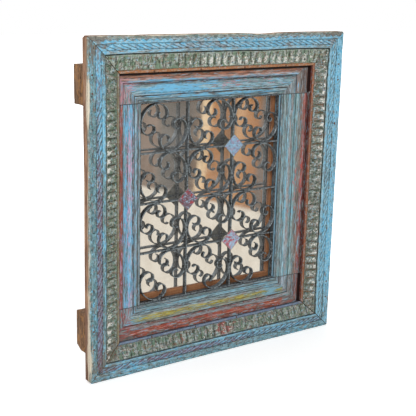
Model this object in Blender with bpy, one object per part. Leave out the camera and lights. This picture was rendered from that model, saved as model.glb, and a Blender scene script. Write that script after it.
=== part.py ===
"""Jharokha mirror: an old window frame with its iron grille, a mirror set behind the grille, and
four carved boards mitred round the front.

All lengths are in metres. X runs to the right, Z up, and Y from the room into the wall.
The pieces are laid out round the middle of the window opening, with the wall at Y = 0. An empty
then carries them all, so that the origin is the middle of the head's back face.
"""
import math

import bmesh
import bpy
import numpy as np
from mathutils import Matrix, Vector

# Clearances
GAP = 0.0003                # between two pieces that touch
OVERRUN = 0.004             # how far a cutter stands out of what it cuts
MERGE_DISTANCE = 0.00001
SMOOTH_ANGLE = math.radians(40)

# Window opening, and the four timbers round it
OPENING_WIDTH = 0.516
OPENING_HEIGHT = 0.611
JAMB_WIDTH = 0.098
HEAD_HEIGHT = 0.1145
SILL_HEIGHT = 0.1115
HEAD_HORN_TRIMS = (0.003, 0.0)      # taken off the horns on their side towards the opening, left and right
SILL_HORN_TRIMS = (-0.009, 0.0)     # the left one stands up past the joint instead
LEDGE_WIDTH = 0.020         # the right jamb is this much wider behind a ledge along its outer front edge
LEDGE_DEPTH = 0.004
FRAME_DEPTH = 0.0537
REBATE_WIDTH = 0.015
REBATE_DEPTH = 0.016

# Moulding worked round the opening: (share of its width out from the opening, share of its depth)
MOULDING_WIDTH = 0.064
MOULDING_DEPTH = 0.007
MOULDING_SHARES = (
    (0.00, 1.00), (0.03, 0.55), (0.10, 0.50), (0.13, 0.90), (0.17, 0.45), (0.29, 0.38),
    (0.32, 0.80), (0.37, 0.35), (0.43, 0.55), (0.60, 0.30), (0.80, 0.30), (0.88, 0.45),
    (0.91, 0.80), (0.96, 0.10), (1.00, 0.00),
)

# Mortise and tenon joints, each with a peg driven from the back
TENON_WIDTH = 0.048
TENON_THICKNESS = 0.012
TENON_LENGTH = 0.055
TENON_SETBACK = 0.024       # from the timber's face to the tenon's front cheek
PEG_RADIUS = 0.006
PEG_OVERSHOOT = 0.006       # how far a peg runs on past the tenon
PEG_SIDES = 12

# Carved boards of the surround
SURROUND_WIDTH = 0.920
SURROUND_HEIGHT = 1.002
SIDE_BOARD_WIDTH = 0.108
TOP_BOARD_WIDTH = 0.106
BOTTOM_BOARD_WIDTH = 0.100
BOARD_THICKNESS = 0.030
SURROUND_SHIFT_X = 0.0155   # the boards sit this far right of the window frame
SURROUND_SHIFT_Z = -0.002
MITRE_GAP = 0.0008          # each mitre has opened by this much
# Section of a board: (share of its width in from the outer edge, share of the carving's depth)
CARVING_DEPTH = 0.0185
BOARD_SHARES = (
    (0.00, 0.18), (0.03, 0.03), (0.245, 0.03), (0.26, 0.14), (0.275, 0.14), (0.315, 0.03),
    (0.37, 0.00), (0.425, 0.04), (0.465, 0.14), (0.495, 0.13), (0.51, 0.32), (0.53, 0.25),
    (0.57, 0.26), (0.70, 0.50), (0.84, 0.80), (0.925, 0.97), (0.935, 1.00), (1.00, 1.00),
)

# Iron grille
GRILLE_SETBACK = 0.0107     # from the timber's face to the bars' front edges
BAR_DEPTH = 0.016
BAR_THICKNESS = 0.004
UPRIGHT_SHARES = (0.3281, 0.6531)           # across the opening, from the left
RAIL_SHARES = (0.2463, 0.4938, 0.7419)      # down the opening, from the top

# C scrolls of flat strip, in the corners of the grille's panes
SCROLL_DEPTH = 0.018
SCROLL_THICKNESS = 0.003
SCROLL_HALF_LENGTH = 0.1526     # along the strip, from its belly to one end
SCROLL_BELLY_RADIUS = 0.061
SCROLL_TIP_RADIUS = 0.009
SCROLL_BEND_POWER = 2.29        # how late the bend rises towards an end
SCROLL_STEPS = 18               # faces along half a scroll
SCROLL_FINE_STEPS = 900

# Painted plates over three crossings of the grille: (upright, rail), counted from 1
DIAMOND_WIDTH = 0.074
DIAMOND_HEIGHT = 0.072
DIAMOND_THICKNESS = 0.0022
DIAMOND_CROSSINGS = ((2, 1), (1, 2), (2, 3))

# Mirror, the strips of wood in front of it and the board behind it
SPACER_THICKNESS = 0.0064
SPACER_SHOW = 0.010             # how far a strip stands into the opening
SPACER_SHOW_FOOT_LEFT = 0.022
SPACER_SHOW_FOOT_RIGHT = 0.014
MIRROR_THICKNESS = 0.003
BACKING_THICKNESS = 0.003
PANE_PLAY = 0.001               # round the pane, inside the rebate

# Keyhole plates that the frame hangs by, let into the back of the head
HANGER_THICKNESS = 0.002
HANGER_WIDTH = 0.028
HANGER_HOLD = 0.045             # length of a plate below the top of the head
HANGER_REACH = 0.034            # from the top of the head up to the end of the slot
HANGER_OFFSET = 0.230           # from the middle of the head
KEYHOLE_SLOT_RADIUS = 0.003
KEYHOLE_EYE_RADIUS = 0.0055
KEYHOLE_DROP = 0.014            # from the end of the slot down to the eye
ARC_STEPS = 12
SCREW_LENGTH = 0.022
SCREW_RADIUS = 0.002
SCREW_HEAD_RADIUS = 0.004
SCREW_HEAD_DEPTH = 0.0022
SCREW_POINT_LENGTH = 0.005
SCREW_EDGE = 0.011              # from a screw to the end of the plate or the top of the head
SCREW_SIDES = 10

# Planes and sizes that follow from those above
HALF_W = OPENING_WIDTH / 2
HALF_H = OPENING_HEIGHT / 2
SURROUND_HALF_W = SURROUND_WIDTH / 2
SURROUND_HALF_H = SURROUND_HEIGHT / 2
HORN_END = SURROUND_HALF_W - SURROUND_SHIFT_X       # flush with the boards on the left
FRAME_FACE = -FRAME_DEPTH
FRAME_HALF_W = HALF_W + JAMB_WIDTH
HEAD_TOP = HALF_H + HEAD_HEIGHT
SHOULDER = -REBATE_DEPTH
BOARD_BACK = FRAME_FACE - GAP
BOARD_FACE = BOARD_BACK - BOARD_THICKNESS
BAR_FRONT = FRAME_FACE + GRILLE_SETBACK
BAR_BACK = BAR_FRONT + BAR_DEPTH
GRILLE_PLANE = BAR_FRONT + BAR_DEPTH / 2
TENON_FRONT = FRAME_FACE + TENON_SETBACK
SPACER_FRONT = SHOULDER + GAP
SPACER_BACK = SPACER_FRONT + SPACER_THICKNESS
MIRROR_FRONT = SPACER_BACK + GAP
BACKING_FRONT = MIRROR_FRONT + MIRROR_THICKNESS + GAP

INTO_FRAME = (0, -1, 0)


def clear_scene():
    for old in list(bpy.data.objects):
        bpy.data.objects.remove(old, do_unlink=True)


def material(name, colour, roughness, metallic=0.0):
    """A plain Principled material."""
    mat = bpy.data.materials.new(name)
    mat.use_nodes = True
    mat.diffuse_color = (*colour, 1.0)
    shader = mat.node_tree.nodes["Principled BSDF"]
    shader.inputs["Base Color"].default_value = (*colour, 1.0)
    shader.inputs["Roughness"].default_value = roughness
    shader.inputs["Metallic"].default_value = metallic
    return mat


def add_object(name, bm, mat=None, smooth=False):
    """Turn a bmesh into a named object with its faces pointing out."""
    bmesh.ops.remove_doubles(bm, verts=bm.verts, dist=MERGE_DISTANCE)
    bmesh.ops.recalc_face_normals(bm, faces=bm.faces)
    mesh = bpy.data.meshes.new(name)
    bm.to_mesh(mesh)
    bm.free()
    if mat:
        mesh.materials.append(mat)
    if smooth:
        mesh.shade_smooth()
        mesh.set_sharp_from_angle(angle=SMOOTH_ANGLE)
    obj = bpy.data.objects.new(name, mesh)
    bpy.context.scene.collection.objects.link(obj)
    return obj


def loft(bm, stations):
    """Skin closed loops with the same number of points into one solid with flat ends.

    Points that coincide in neighbouring loops become one, so a loop may turn about an edge.
    """
    made = {}

    def vert(point):
        key = tuple(round(value / MERGE_DISTANCE) for value in point)
        if key not in made:
            made[key] = bm.verts.new(point)
        return made[key]

    loops = [[vert(point) for point in station] for station in stations]
    for near, far in zip(loops, loops[1:]):
        for i in range(len(near)):
            corners = list(dict.fromkeys((near[i - 1], near[i], far[i], far[i - 1])))
            if len(corners) > 2:
                bm.faces.new(corners)
    bm.faces.new(loops[0])
    bm.faces.new(reversed(loops[-1]))


def extruded(bm, outline, front, back):
    """A flat shape given as (x, z) points, as thick as from front to back."""
    loft(bm, [[(x, y, z) for x, z in outline] for y in (front, back)])


def box(bm, corner, other):
    """A box between two opposite corners, in any order."""
    low = Vector(map(min, corner, other))
    size = Vector(map(max, corner, other)) - low
    place = Matrix.Translation(low + size / 2) @ Matrix.Diagonal((*size, 1.0))
    bmesh.ops.create_cube(bm, size=1.0, matrix=place)


def turned(bm, profile, sides, base, axis):
    """A round solid: (distance along the axis, radius) pairs turned about an axis from base."""
    turn = Vector((0, 0, 1)).rotation_difference(Vector(axis)).to_matrix()
    angles = [2 * math.pi * k / sides for k in range(sides)]
    loft(bm, [
        [Vector(base) + turn @ Vector((radius * math.cos(a), radius * math.sin(a), along)) for a in angles]
        for along, radius in profile])


def change_with(obj, name, bm, operation):
    """Cut or extend an object with a hidden solid."""
    tool = add_object(name, bm)
    tool.hide_render = True
    tool.display_type = "WIRE"
    change = obj.modifiers.new(name, "BOOLEAN")
    change.operation = operation
    change.object = tool
    change.solver = "EXACT"


def cut(obj, name, bm):
    change_with(obj, name, bm, "DIFFERENCE")


def extend(obj, name, bm):
    change_with(obj, name, bm, "UNION")


# Window frame: head and sill run across, and the jambs stand between them on tenons

def timber_section():
    """Closed section of a timber of the frame: (distance from the opening, y)."""
    section = [(MOULDING_WIDTH * out, FRAME_FACE + MOULDING_DEPTH * deep) for out, deep in MOULDING_SHARES]
    section += [(JAMB_WIDTH, FRAME_FACE), (JAMB_WIDTH, 0), (REBATE_WIDTH, 0)]
    section += [(REBATE_WIDTH, SHOULDER), (0, SHOULDER)]
    return section


def tenon(bm, side, end, play):
    """The tenon at one end of a jamb, or with play the mortise that it fits."""
    middle = side * (HALF_W + JAMB_WIDTH / 2)
    half = TENON_WIDTH / 2 + play
    near = (middle - half, TENON_FRONT - play, end * (HALF_H - OVERRUN))
    far = (middle + half, TENON_FRONT + TENON_THICKNESS + play, end * (HALF_H + TENON_LENGTH + play))
    box(bm, near, far)


def peg_base(side, end):
    return (side * (HALF_W + JAMB_WIDTH / 2), 0, end * (HALF_H + TENON_LENGTH / 2))


def peg_profile(play=0.0, overrun=0.0):
    length = PEG_OVERSHOOT - TENON_FRONT + play
    return ((-overrun, PEG_RADIUS + play), (length, PEG_RADIUS + play))


def peg_hole(bm, side, end):
    turned(bm, peg_profile(GAP, OVERRUN), PEG_SIDES, peg_base(side, end), INTO_FRAME)


def crosspiece(name, end, height, horn_trims, mat):
    """Head (end = 1) or sill (end = -1).

    Its moulding turns through a mitre above each jamb, and the timber runs on as a plain horn.
    A horn that stands up past the joint does so clear of the jamb.
    """
    section = timber_section()
    top = {distance: distance for distance, y in section}
    top[JAMB_WIDTH] = height
    stations = []
    for side in (-1, 1):
        joint = [(side * (HALF_W + d), y, end * HALF_H) for d, y in section]
        mitre = [(side * (HALF_W + d), y, end * (HALF_H + top[d])) for d, y in section]
        stations += [joint, mitre] if side < 0 else [mitre, joint]
    bm = bmesh.new()
    loft(bm, stations)
    timber = add_object(name, bm, mat)
    horns = bmesh.new()
    mortises = bmesh.new()
    peg_holes = bmesh.new()
    for side, trim in zip((-1, 1), horn_trims):
        outer = (side * HORN_END, 0, end * (HALF_H + height))
        box(horns, (side * (FRAME_HALF_W - OVERRUN), FRAME_FACE, end * (HALF_H + max(trim, 0))), outer)
        tenon(mortises, side, end, GAP)
        peg_hole(peg_holes, side, end)
    extend(timber, name + "_horns", horns)
    for side, trim in zip((-1, 1), horn_trims):
        if trim < 0:
            raised = bmesh.new()
            outer = (side * HORN_END, 0, end * (HALF_H + height / 2))
            box(raised, (side * (FRAME_HALF_W + GAP), FRAME_FACE, end * (HALF_H + trim)), outer)
            extend(timber, name + "_raised_horn", raised)
    cut(timber, name + "_mortises", mortises)
    cut(timber, name + "_peg_holes", peg_holes)
    return timber


def jamb(name, side, mat):
    """An upright of the window frame, with a tenon at each end. The right one has a ledge."""
    section = timber_section()
    if side > 0:
        corner = section.index((JAMB_WIDTH, FRAME_FACE))
        ledge = FRAME_FACE + LEDGE_DEPTH
        section[corner + 1:corner + 2] = [
            (JAMB_WIDTH, ledge), (JAMB_WIDTH + LEDGE_WIDTH, ledge), (JAMB_WIDTH + LEDGE_WIDTH, 0)]
    bm = bmesh.new()
    loft(bm, [[(side * (HALF_W + d), y, end * (HALF_H - GAP)) for d, y in section] for end in (-1, 1)])
    upright = add_object(name, bm, mat)
    tenons = bmesh.new()
    peg_holes = bmesh.new()
    for end in (-1, 1):
        tenon(tenons, side, end, 0)
        peg_hole(peg_holes, side, end)
    extend(upright, name + "_tenons", tenons)
    cut(upright, name + "_peg_holes", peg_holes)


def peg(name, side, end, mat):
    """A wooden peg through a mortise and its tenon, cut off flush with the back."""
    bm = bmesh.new()
    turned(bm, peg_profile(), PEG_SIDES, peg_base(side, end), INTO_FRAME)
    add_object(name, bm, mat, smooth=True)


# Carved surround

def board(name, across, up, mat):
    """One mitred board. (across, up) points to the side that it lies on: (0, 1) is the top."""
    section = [(share, BOARD_FACE + CARVING_DEPTH * deep) for share, deep in BOARD_SHARES]
    section += [(1, BOARD_BACK), (0, BOARD_BACK)]
    opened = MITRE_GAP / math.sqrt(2)
    stations = []
    for turn in (-1, 1):
        loop = []
        end_width = TOP_BOARD_WIDTH if (up or turn) > 0 else BOTTOM_BOARD_WIDTH
        for share, y in section:
            x = (across or turn) * (SURROUND_HALF_W - share * SIDE_BOARD_WIDTH) + SURROUND_SHIFT_X
            z = (up or turn) * (SURROUND_HALF_H - share * end_width) + SURROUND_SHIFT_Z
            if up:
                x -= turn * opened
            else:
                z -= turn * opened
            loop.append((x, y, z))
        stations.append(loop)
    bm = bmesh.new()
    loft(bm, stations)
    add_object(name, bm, mat)


# Grille: flat bars on edge, halved over each other, inside a lining of four edge bars

def upright_xs():
    """Middles of the vertical bars, edge bars included, from left to right."""
    edge = HALF_W - GAP - BAR_THICKNESS / 2
    return [-edge] + [share * OPENING_WIDTH - HALF_W for share in UPRIGHT_SHARES] + [edge]


def rail_zs():
    """Middles of the level bars, edge bars included, from the top down."""
    edge = HALF_H - GAP - BAR_THICKNESS / 2
    return [edge] + [HALF_H - share * OPENING_HEIGHT for share in RAIL_SHARES] + [-edge]


def halved_bar(name, reach, crossings, kept, cut_away, place, mat):
    """A bar with a notch from its cut_away edge to its middle at each crossing.

    place(along, y, aside) gives the point at those distances along and beside the bar.
    """
    notch = BAR_THICKNESS / 2 + GAP
    floor = GRILLE_PLANE + math.copysign(GAP / 2, kept - cut_away)
    outline = [(-reach, kept), (-reach, cut_away)]
    for along in sorted(crossings):
        outline += [(along - notch, cut_away), (along - notch, floor)]
        outline += [(along + notch, floor), (along + notch, cut_away)]
    outline += [(reach, cut_away), (reach, kept)]
    bm = bmesh.new()
    loft(bm, [
        [place(along, y, aside) for along, y in outline]
        for aside in (-BAR_THICKNESS / 2, BAR_THICKNESS / 2)])
    add_object(name, bm, mat)


def edge_bar(name, across, up, mat):
    """A bar along one side of the opening. The two side bars stand between top and bottom ones."""
    outer_w = HALF_W - GAP
    outer_h = HALF_H - GAP
    inner_w = outer_w - BAR_THICKNESS
    inner_h = outer_h - BAR_THICKNESS
    bm = bmesh.new()
    if up:
        box(bm, (-outer_w, BAR_FRONT, up * outer_h), (outer_w, BAR_BACK, up * inner_h))
    else:
        box(bm, (across * outer_w, BAR_FRONT, GAP - inner_h), (across * inner_w, BAR_BACK, inner_h - GAP))
    add_object(name, bm, mat)


def grille(mat):
    xs = upright_xs()
    zs = rail_zs()
    for name, across, up in (("top", 0, 1), ("bottom", 0, -1), ("left", -1, 0), ("right", 1, 0)):
        edge_bar("grille_edge_" + name, across, up, mat)
    clear = BAR_THICKNESS / 2 + GAP
    for number, x in enumerate(xs[1:-1], 1):
        halved_bar(
            "grille_upright_%d" % number, zs[0] - clear, zs[1:-1], BAR_FRONT, BAR_BACK,
            lambda along, y, aside: (x + aside, y, along), mat)
    for number, z in enumerate(zs[1:-1], 1):
        halved_bar(
            "grille_rail_%d" % number, xs[-1] - clear, xs[1:-1], BAR_BACK, BAR_FRONT,
            lambda along, y, aside: (along, y, z + aside), mat)


# Scrolls

def scroll_line():
    """Middle line of a C scroll and the direction across it, seen from a corner of a pane.

    The bend grows from the belly towards each end as a power of the distance along the strip,
    so both ends roll up. The line is alike on both sides of the pane's diagonal, and stands off
    the two bars by half of each thickness and the gap.
    """
    along = np.linspace(0, SCROLL_HALF_LENGTH, SCROLL_FINE_STEPS + 1)
    share = along / SCROLL_HALF_LENGTH
    more_bend = 1 / SCROLL_TIP_RADIUS - 1 / SCROLL_BELLY_RADIUS
    turn = along / SCROLL_BELLY_RADIUS
    turn += more_bend * along * share ** SCROLL_BEND_POWER / (SCROLL_BEND_POWER + 1)
    # the strip starts square to the diagonal, which runs at 45 degrees into the pane
    heading = turn - math.pi / 4
    middle = (heading[1:] + heading[:-1]) / 2
    step = along[1]
    u = np.concatenate(([0], np.cumsum(np.cos(middle)) * step))
    v = np.concatenate(([0], np.cumsum(np.sin(middle)) * step))
    lift = BAR_THICKNESS / 2 + GAP + SCROLL_THICKNESS / 2 - v.min()
    # faces are shared out half by length and half by turning
    picked = np.interp(
        np.linspace(0, 2, SCROLL_STEPS + 1), share + turn / turn[-1], along)
    points = np.stack([np.interp(picked, along, line) for line in (u + lift, v + lift)], 1)
    angle = np.interp(picked, along, heading)
    aside = np.stack([-np.sin(angle), np.cos(angle)], 1)
    return (
        np.concatenate((points[:0:-1, ::-1], points)),
        np.concatenate((aside[:0:-1, ::-1], aside)),
    )


def scroll(name, corner, across, up, mat):
    """A C scroll. across and up point from the corner of a pane into the pane."""
    line, aside = scroll_line()
    half = SCROLL_THICKNESS / 2
    front = GRILLE_PLANE - SCROLL_DEPTH / 2
    back = GRILLE_PLANE + SCROLL_DEPTH / 2
    outer = np.array(corner) + (line - aside * half) * (across, up)
    inner = np.array(corner) + (line + aside * half) * (across, up)
    bm = bmesh.new()
    loft(bm, [
        [(a[0], front, a[1]), (a[0], back, a[1]), (b[0], back, b[1]), (b[0], front, b[1])]
        for a, b in zip(outer, inner)])
    add_object(name, bm, mat, smooth=True)


def scroll_places():
    """Each scroll's corner and directions: up to four lie round every other crossing of bars."""
    xs = upright_xs()
    zs = rail_zs()
    places = []
    for row, z in enumerate(zs):
        for column, x in enumerate(xs):
            for up in (1, -1):
                for across in (-1, 1):
                    in_grille = 0 <= column + across < len(xs) and 0 <= row - up < len(zs)
                    if in_grille and (row + column) % 2 == 0:
                        places.append(((x, z), across, up))
    return places


def diamond(name, crossing, mat):
    """A painted iron plate standing on its point, in front of a crossing of the grille."""
    column, row = crossing
    x = upright_xs()[column]
    z = rail_zs()[row]
    half_w = DIAMOND_WIDTH / 2
    half_h = DIAMOND_HEIGHT / 2
    back = BAR_FRONT - GAP
    bm = bmesh.new()
    extruded(
        bm, ((x - half_w, z), (x, z - half_h), (x + half_w, z), (x, z + half_h)),
        back - DIAMOND_THICKNESS, back)
    add_object(name, bm, mat)


# What lies in the rebate

def spacers(mat):
    """Strips of new wood in front of the mirror. The side strips stand between top and bottom.

    The bottom strip tapers, so the feet of the side strips follow its slope.
    """
    side = HALF_W + REBATE_WIDTH - GAP
    end = HALF_H + REBATE_WIDTH - GAP
    inner = HALF_W - SPACER_SHOW
    top = HALF_H - SPACER_SHOW

    def foot(x):
        across = (x + side) / (2 * side)
        shown = SPACER_SHOW_FOOT_LEFT + (SPACER_SHOW_FOOT_RIGHT - SPACER_SHOW_FOOT_LEFT) * across
        return shown - HALF_H

    outlines = {
        "spacer_top": ((-side, top), (side, top), (side, end), (-side, end)),
        "spacer_bottom": ((-side, -end), (side, -end), (side, foot(side)), (-side, foot(-side))),
    }
    for name, near, far in (("spacer_left", -side, -inner), ("spacer_right", inner, side)):
        outlines[name] = (
            (near, foot(near) + GAP), (far, foot(far) + GAP), (far, top - GAP), (near, top - GAP))
    for name, outline in outlines.items():
        bm = bmesh.new()
        extruded(bm, outline, SPACER_FRONT, SPACER_BACK)
        add_object(name, bm, mat)


def sheet(name, front, thickness, mat):
    """A flat sheet that drops into the rebate."""
    half_w = HALF_W + REBATE_WIDTH - PANE_PLAY
    half_h = HALF_H + REBATE_WIDTH - PANE_PLAY
    bm = bmesh.new()
    box(bm, (-half_w, front, -half_h), (half_w, front + thickness, half_h))
    add_object(name, bm, mat)


# Hanging plates and their screws

def hanger_outline(x):
    """Straight sides up to a round end about the top of the keyhole's slot."""
    half = HANGER_WIDTH / 2
    centre = HEAD_TOP + HANGER_REACH
    foot = HEAD_TOP - HANGER_HOLD
    angles = [math.pi * k / ARC_STEPS for k in range(ARC_STEPS + 1)]
    arc = [(x + half * math.cos(a), centre + half * math.sin(a)) for a in angles]
    return [(x - half, foot), (x + half, foot)] + arc


def keyhole_outline(x):
    """A narrow slot with a round top, open at its foot into a round eye."""
    slot = HEAD_TOP + HANGER_REACH
    eye = slot - KEYHOLE_DROP
    outline = []
    for k in range(ARC_STEPS + 1):
        a = math.pi * k / ARC_STEPS
        outline.append((x + KEYHOLE_SLOT_RADIUS * math.cos(a), slot + KEYHOLE_SLOT_RADIUS * math.sin(a)))
    mouth = math.asin(KEYHOLE_SLOT_RADIUS / KEYHOLE_EYE_RADIUS)
    for k in range(ARC_STEPS + 1):
        a = math.pi / 2 + mouth + (2 * math.pi - 2 * mouth) * k / ARC_STEPS
        outline.append((x + KEYHOLE_EYE_RADIUS * math.cos(a), eye + KEYHOLE_EYE_RADIUS * math.sin(a)))
    return outline


def screw_places():
    """Two screws in each plate, near its foot and near the top of the head."""
    places = []
    for side in (-1, 1):
        for z in (HEAD_TOP - HANGER_HOLD + SCREW_EDGE, HEAD_TOP - SCREW_EDGE):
            places.append((side * HANGER_OFFSET, 0, z))
    return places


def screw_profile(play=0.0):
    """Countersunk screw from its head to its point, or with play the hole that it fits."""
    return (
        (-play, SCREW_HEAD_RADIUS + play),
        (SCREW_HEAD_DEPTH, SCREW_RADIUS + play),
        (SCREW_LENGTH - SCREW_POINT_LENGTH, SCREW_RADIUS + play),
        (SCREW_LENGTH + play, SCREW_RADIUS / 2),
    )


def screw_holes():
    bm = bmesh.new()
    for base in screw_places():
        turned(bm, screw_profile(GAP), SCREW_SIDES, base, INTO_FRAME)
    return bm


def hangers(head, steel):
    """Two keyhole plates, flush with the back of the head, with their recesses and screws."""
    recesses = bmesh.new()
    for name, side in (("hanger_left", -1), ("hanger_right", 1)):
        x = side * HANGER_OFFSET
        half = HANGER_WIDTH / 2 + GAP
        foot = HEAD_TOP - HANGER_HOLD - GAP
        box(
            recesses, (x - half, -HANGER_THICKNESS - GAP, foot),
            (x + half, OVERRUN, HEAD_TOP + OVERRUN))
        bm = bmesh.new()
        extruded(bm, hanger_outline(x), -HANGER_THICKNESS, 0)
        plate = add_object(name, bm, steel)
        keyhole = bmesh.new()
        extruded(keyhole, keyhole_outline(x), -HANGER_THICKNESS - OVERRUN, OVERRUN)
        cut(plate, name + "_keyhole", keyhole)
        cut(plate, name + "_screw_holes", screw_holes())
    cut(head, "hanger_recesses", recesses)
    cut(head, "hanger_screw_holes", screw_holes())
    for number, base in enumerate(screw_places(), 1):
        bm = bmesh.new()
        turned(bm, screw_profile(), SCREW_SIDES, base, INTO_FRAME)
        add_object("hanger_screw_%d" % number, bm, steel, smooth=True)


def main():
    clear_scene()
    carved = material("carved_wood", (0.13, 0.27, 0.31), 0.75)
    painted = material("painted_timber", (0.12, 0.33, 0.45), 0.70)
    iron = material("grille_iron", (0.05, 0.06, 0.07), 0.55, 0.7)
    diamond_paint = material("diamond_paint", (0.30, 0.36, 0.50), 0.60)
    new_wood = material("new_wood", (0.42, 0.17, 0.06), 0.70)
    silver = material("mirror_glass", (0.90, 0.90, 0.90), 0.03, 1.0)
    hardboard = material("hardboard", (0.25, 0.15, 0.08), 0.80)
    steel = material("steel", (0.35, 0.35, 0.36), 0.45, 0.9)
    peg_wood = material("peg_wood", (0.20, 0.11, 0.06), 0.80)

    for name, across, up in (("top", 0, 1), ("bottom", 0, -1), ("left", -1, 0), ("right", 1, 0)):
        board("surround_" + name, across, up, carved)

    head = crosspiece("frame_head", 1, HEAD_HEIGHT, HEAD_HORN_TRIMS, painted)
    crosspiece("frame_sill", -1, SILL_HEIGHT, SILL_HORN_TRIMS, painted)
    jamb("frame_jamb_left", -1, painted)
    jamb("frame_jamb_right", 1, painted)
    for number, (side, end) in enumerate(((-1, 1), (1, 1), (-1, -1), (1, -1)), 1):
        peg("tenon_peg_%d" % number, side, end, peg_wood)
    hangers(head, steel)

    grille(iron)
    for number, (corner, across, up) in enumerate(scroll_places(), 1):
        scroll("scroll_%02d" % number, corner, across, up, iron)
    for number, crossing in enumerate(DIAMOND_CROSSINGS, 1):
        diamond("diamond_%d" % number, crossing, diamond_paint)

    spacers(new_wood)
    sheet("mirror_pane", MIRROR_FRONT, MIRROR_THICKNESS, silver)
    sheet("backing_board", BACKING_FRONT, BACKING_THICKNESS, hardboard)

    pieces = list(bpy.context.scene.collection.objects)
    carrier = bpy.data.objects.new("jharokha_mirror", None)
    bpy.context.scene.collection.objects.link(carrier)
    for piece in pieces:
        piece.parent = carrier
    carrier.location.z = -(HALF_H + HEAD_HEIGHT / 2)


main()
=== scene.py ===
"""Jharokha mirror: an old painted window frame with its iron grille, a mirror behind the grille and
four carved boards mitred round the front. Metres, X to the right, Y into the wall, Z up."""
import math

import bmesh
import bpy
import numpy as np
from mathutils import Matrix, Vector


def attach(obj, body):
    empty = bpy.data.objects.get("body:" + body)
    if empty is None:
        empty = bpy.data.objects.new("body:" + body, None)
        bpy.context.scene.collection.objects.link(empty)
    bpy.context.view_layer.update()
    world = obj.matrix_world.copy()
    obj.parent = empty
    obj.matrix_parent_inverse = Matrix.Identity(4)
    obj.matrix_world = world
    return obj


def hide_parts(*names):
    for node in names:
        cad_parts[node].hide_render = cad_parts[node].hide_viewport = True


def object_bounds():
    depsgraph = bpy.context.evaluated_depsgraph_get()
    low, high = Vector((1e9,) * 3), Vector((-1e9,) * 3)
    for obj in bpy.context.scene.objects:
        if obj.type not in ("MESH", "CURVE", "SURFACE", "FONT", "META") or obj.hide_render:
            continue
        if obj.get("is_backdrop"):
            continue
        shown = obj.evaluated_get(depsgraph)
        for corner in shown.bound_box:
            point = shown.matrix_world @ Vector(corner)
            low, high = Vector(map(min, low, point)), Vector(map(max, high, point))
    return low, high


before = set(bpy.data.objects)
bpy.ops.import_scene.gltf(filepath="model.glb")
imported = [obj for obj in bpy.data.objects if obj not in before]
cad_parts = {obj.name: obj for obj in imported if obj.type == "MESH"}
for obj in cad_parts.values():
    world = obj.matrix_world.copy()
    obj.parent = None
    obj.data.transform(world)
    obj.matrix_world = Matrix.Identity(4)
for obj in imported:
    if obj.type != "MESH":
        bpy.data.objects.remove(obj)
cad_low, cad_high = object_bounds()


# Window frame. Head, sill and two jambs of old hardwood, mortised and pegged, with one moulding
# planed round the opening. Coat over coat of lime and oil paint has worn off along the grain.

MIDDLE_Z = -0.36275             # the middle of the opening, below the origin
OPENING_W = 0.258               # half the width of the opening
OPENING_H = 0.3055
TIMBER = 0.098                  # width of a jamb
FRAME_FACE = -0.0537
SHOULDER = -0.016               # front of the rebate
REBATE = 0.015
HEAD_HEIGHT = 0.1145
SILL_HEIGHT = 0.1115
HORN_END = 0.4445
HORN_POINTS = 120               # round the section of a horn
HORN_CHAMFER = 0.024
DRAWN_TO = 0.0915               # beyond this the moulding is stretched to the head's or sill's height
LEDGE_WIDTH = 0.020
LEDGE_FACE = -0.0497
HANGER_X = 0.230
HANGER_HALF = 0.0143            # half the width of the recess for a hanging plate
RECESS = 0.0023


def waves(u, v, size, seed, count=16):
    """Soft relief of about -1 to 1: a sum of sine waves over u and v, each with a seeded
    direction and phase, and a length near the given size."""
    draw = np.random.default_rng(seed)
    total = 0.0
    for angle, stretch, phase in draw.uniform((0, 0.65, 0), (math.tau, 1.7, math.tau), (count, 3)):
        turn = (np.cos(angle) * u + np.sin(angle) * v) * math.tau / (size * stretch)
        total = total + np.sin(turn + phase)
    return np.clip(total / math.sqrt(2 * count), -1, 1)


def bumps(depth, u, v, size, seed):
    """Soft relief of the same waves, from 0 to twice the depth."""
    return depth * (1 + waves(u, v, size, seed))


def bell(value, spread):
    """1 where the value is 0, and less on both sides of it as in a bell curve."""
    return np.exp(-(value / spread) ** 2)


def eased(value, low, high):
    """0 below low, 1 above high, and a smooth S between them."""
    share = np.clip((value - low) / (high - low), 0, 1)
    return share * share * (3 - 2 * share)


def relief_of(height, reach=2, full=0.0009):
    """How far each point stands above (up to 1) or below (down to -1) the mean round it."""
    mean = height
    for axis in (0, 1):
        count = mean.shape[axis]
        ends = [(0, 0), (0, 0)]
        ends[axis] = (reach + 1, reach)
        total = np.cumsum(np.pad(mean, ends, mode="edge"), axis=axis)
        window = 2 * reach + 1
        upper = np.take(total, range(window, window + count), axis)
        mean = (upper - np.take(total, range(count), axis)) / window
    return np.clip((height - mean) / full, -1, 1)


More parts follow.
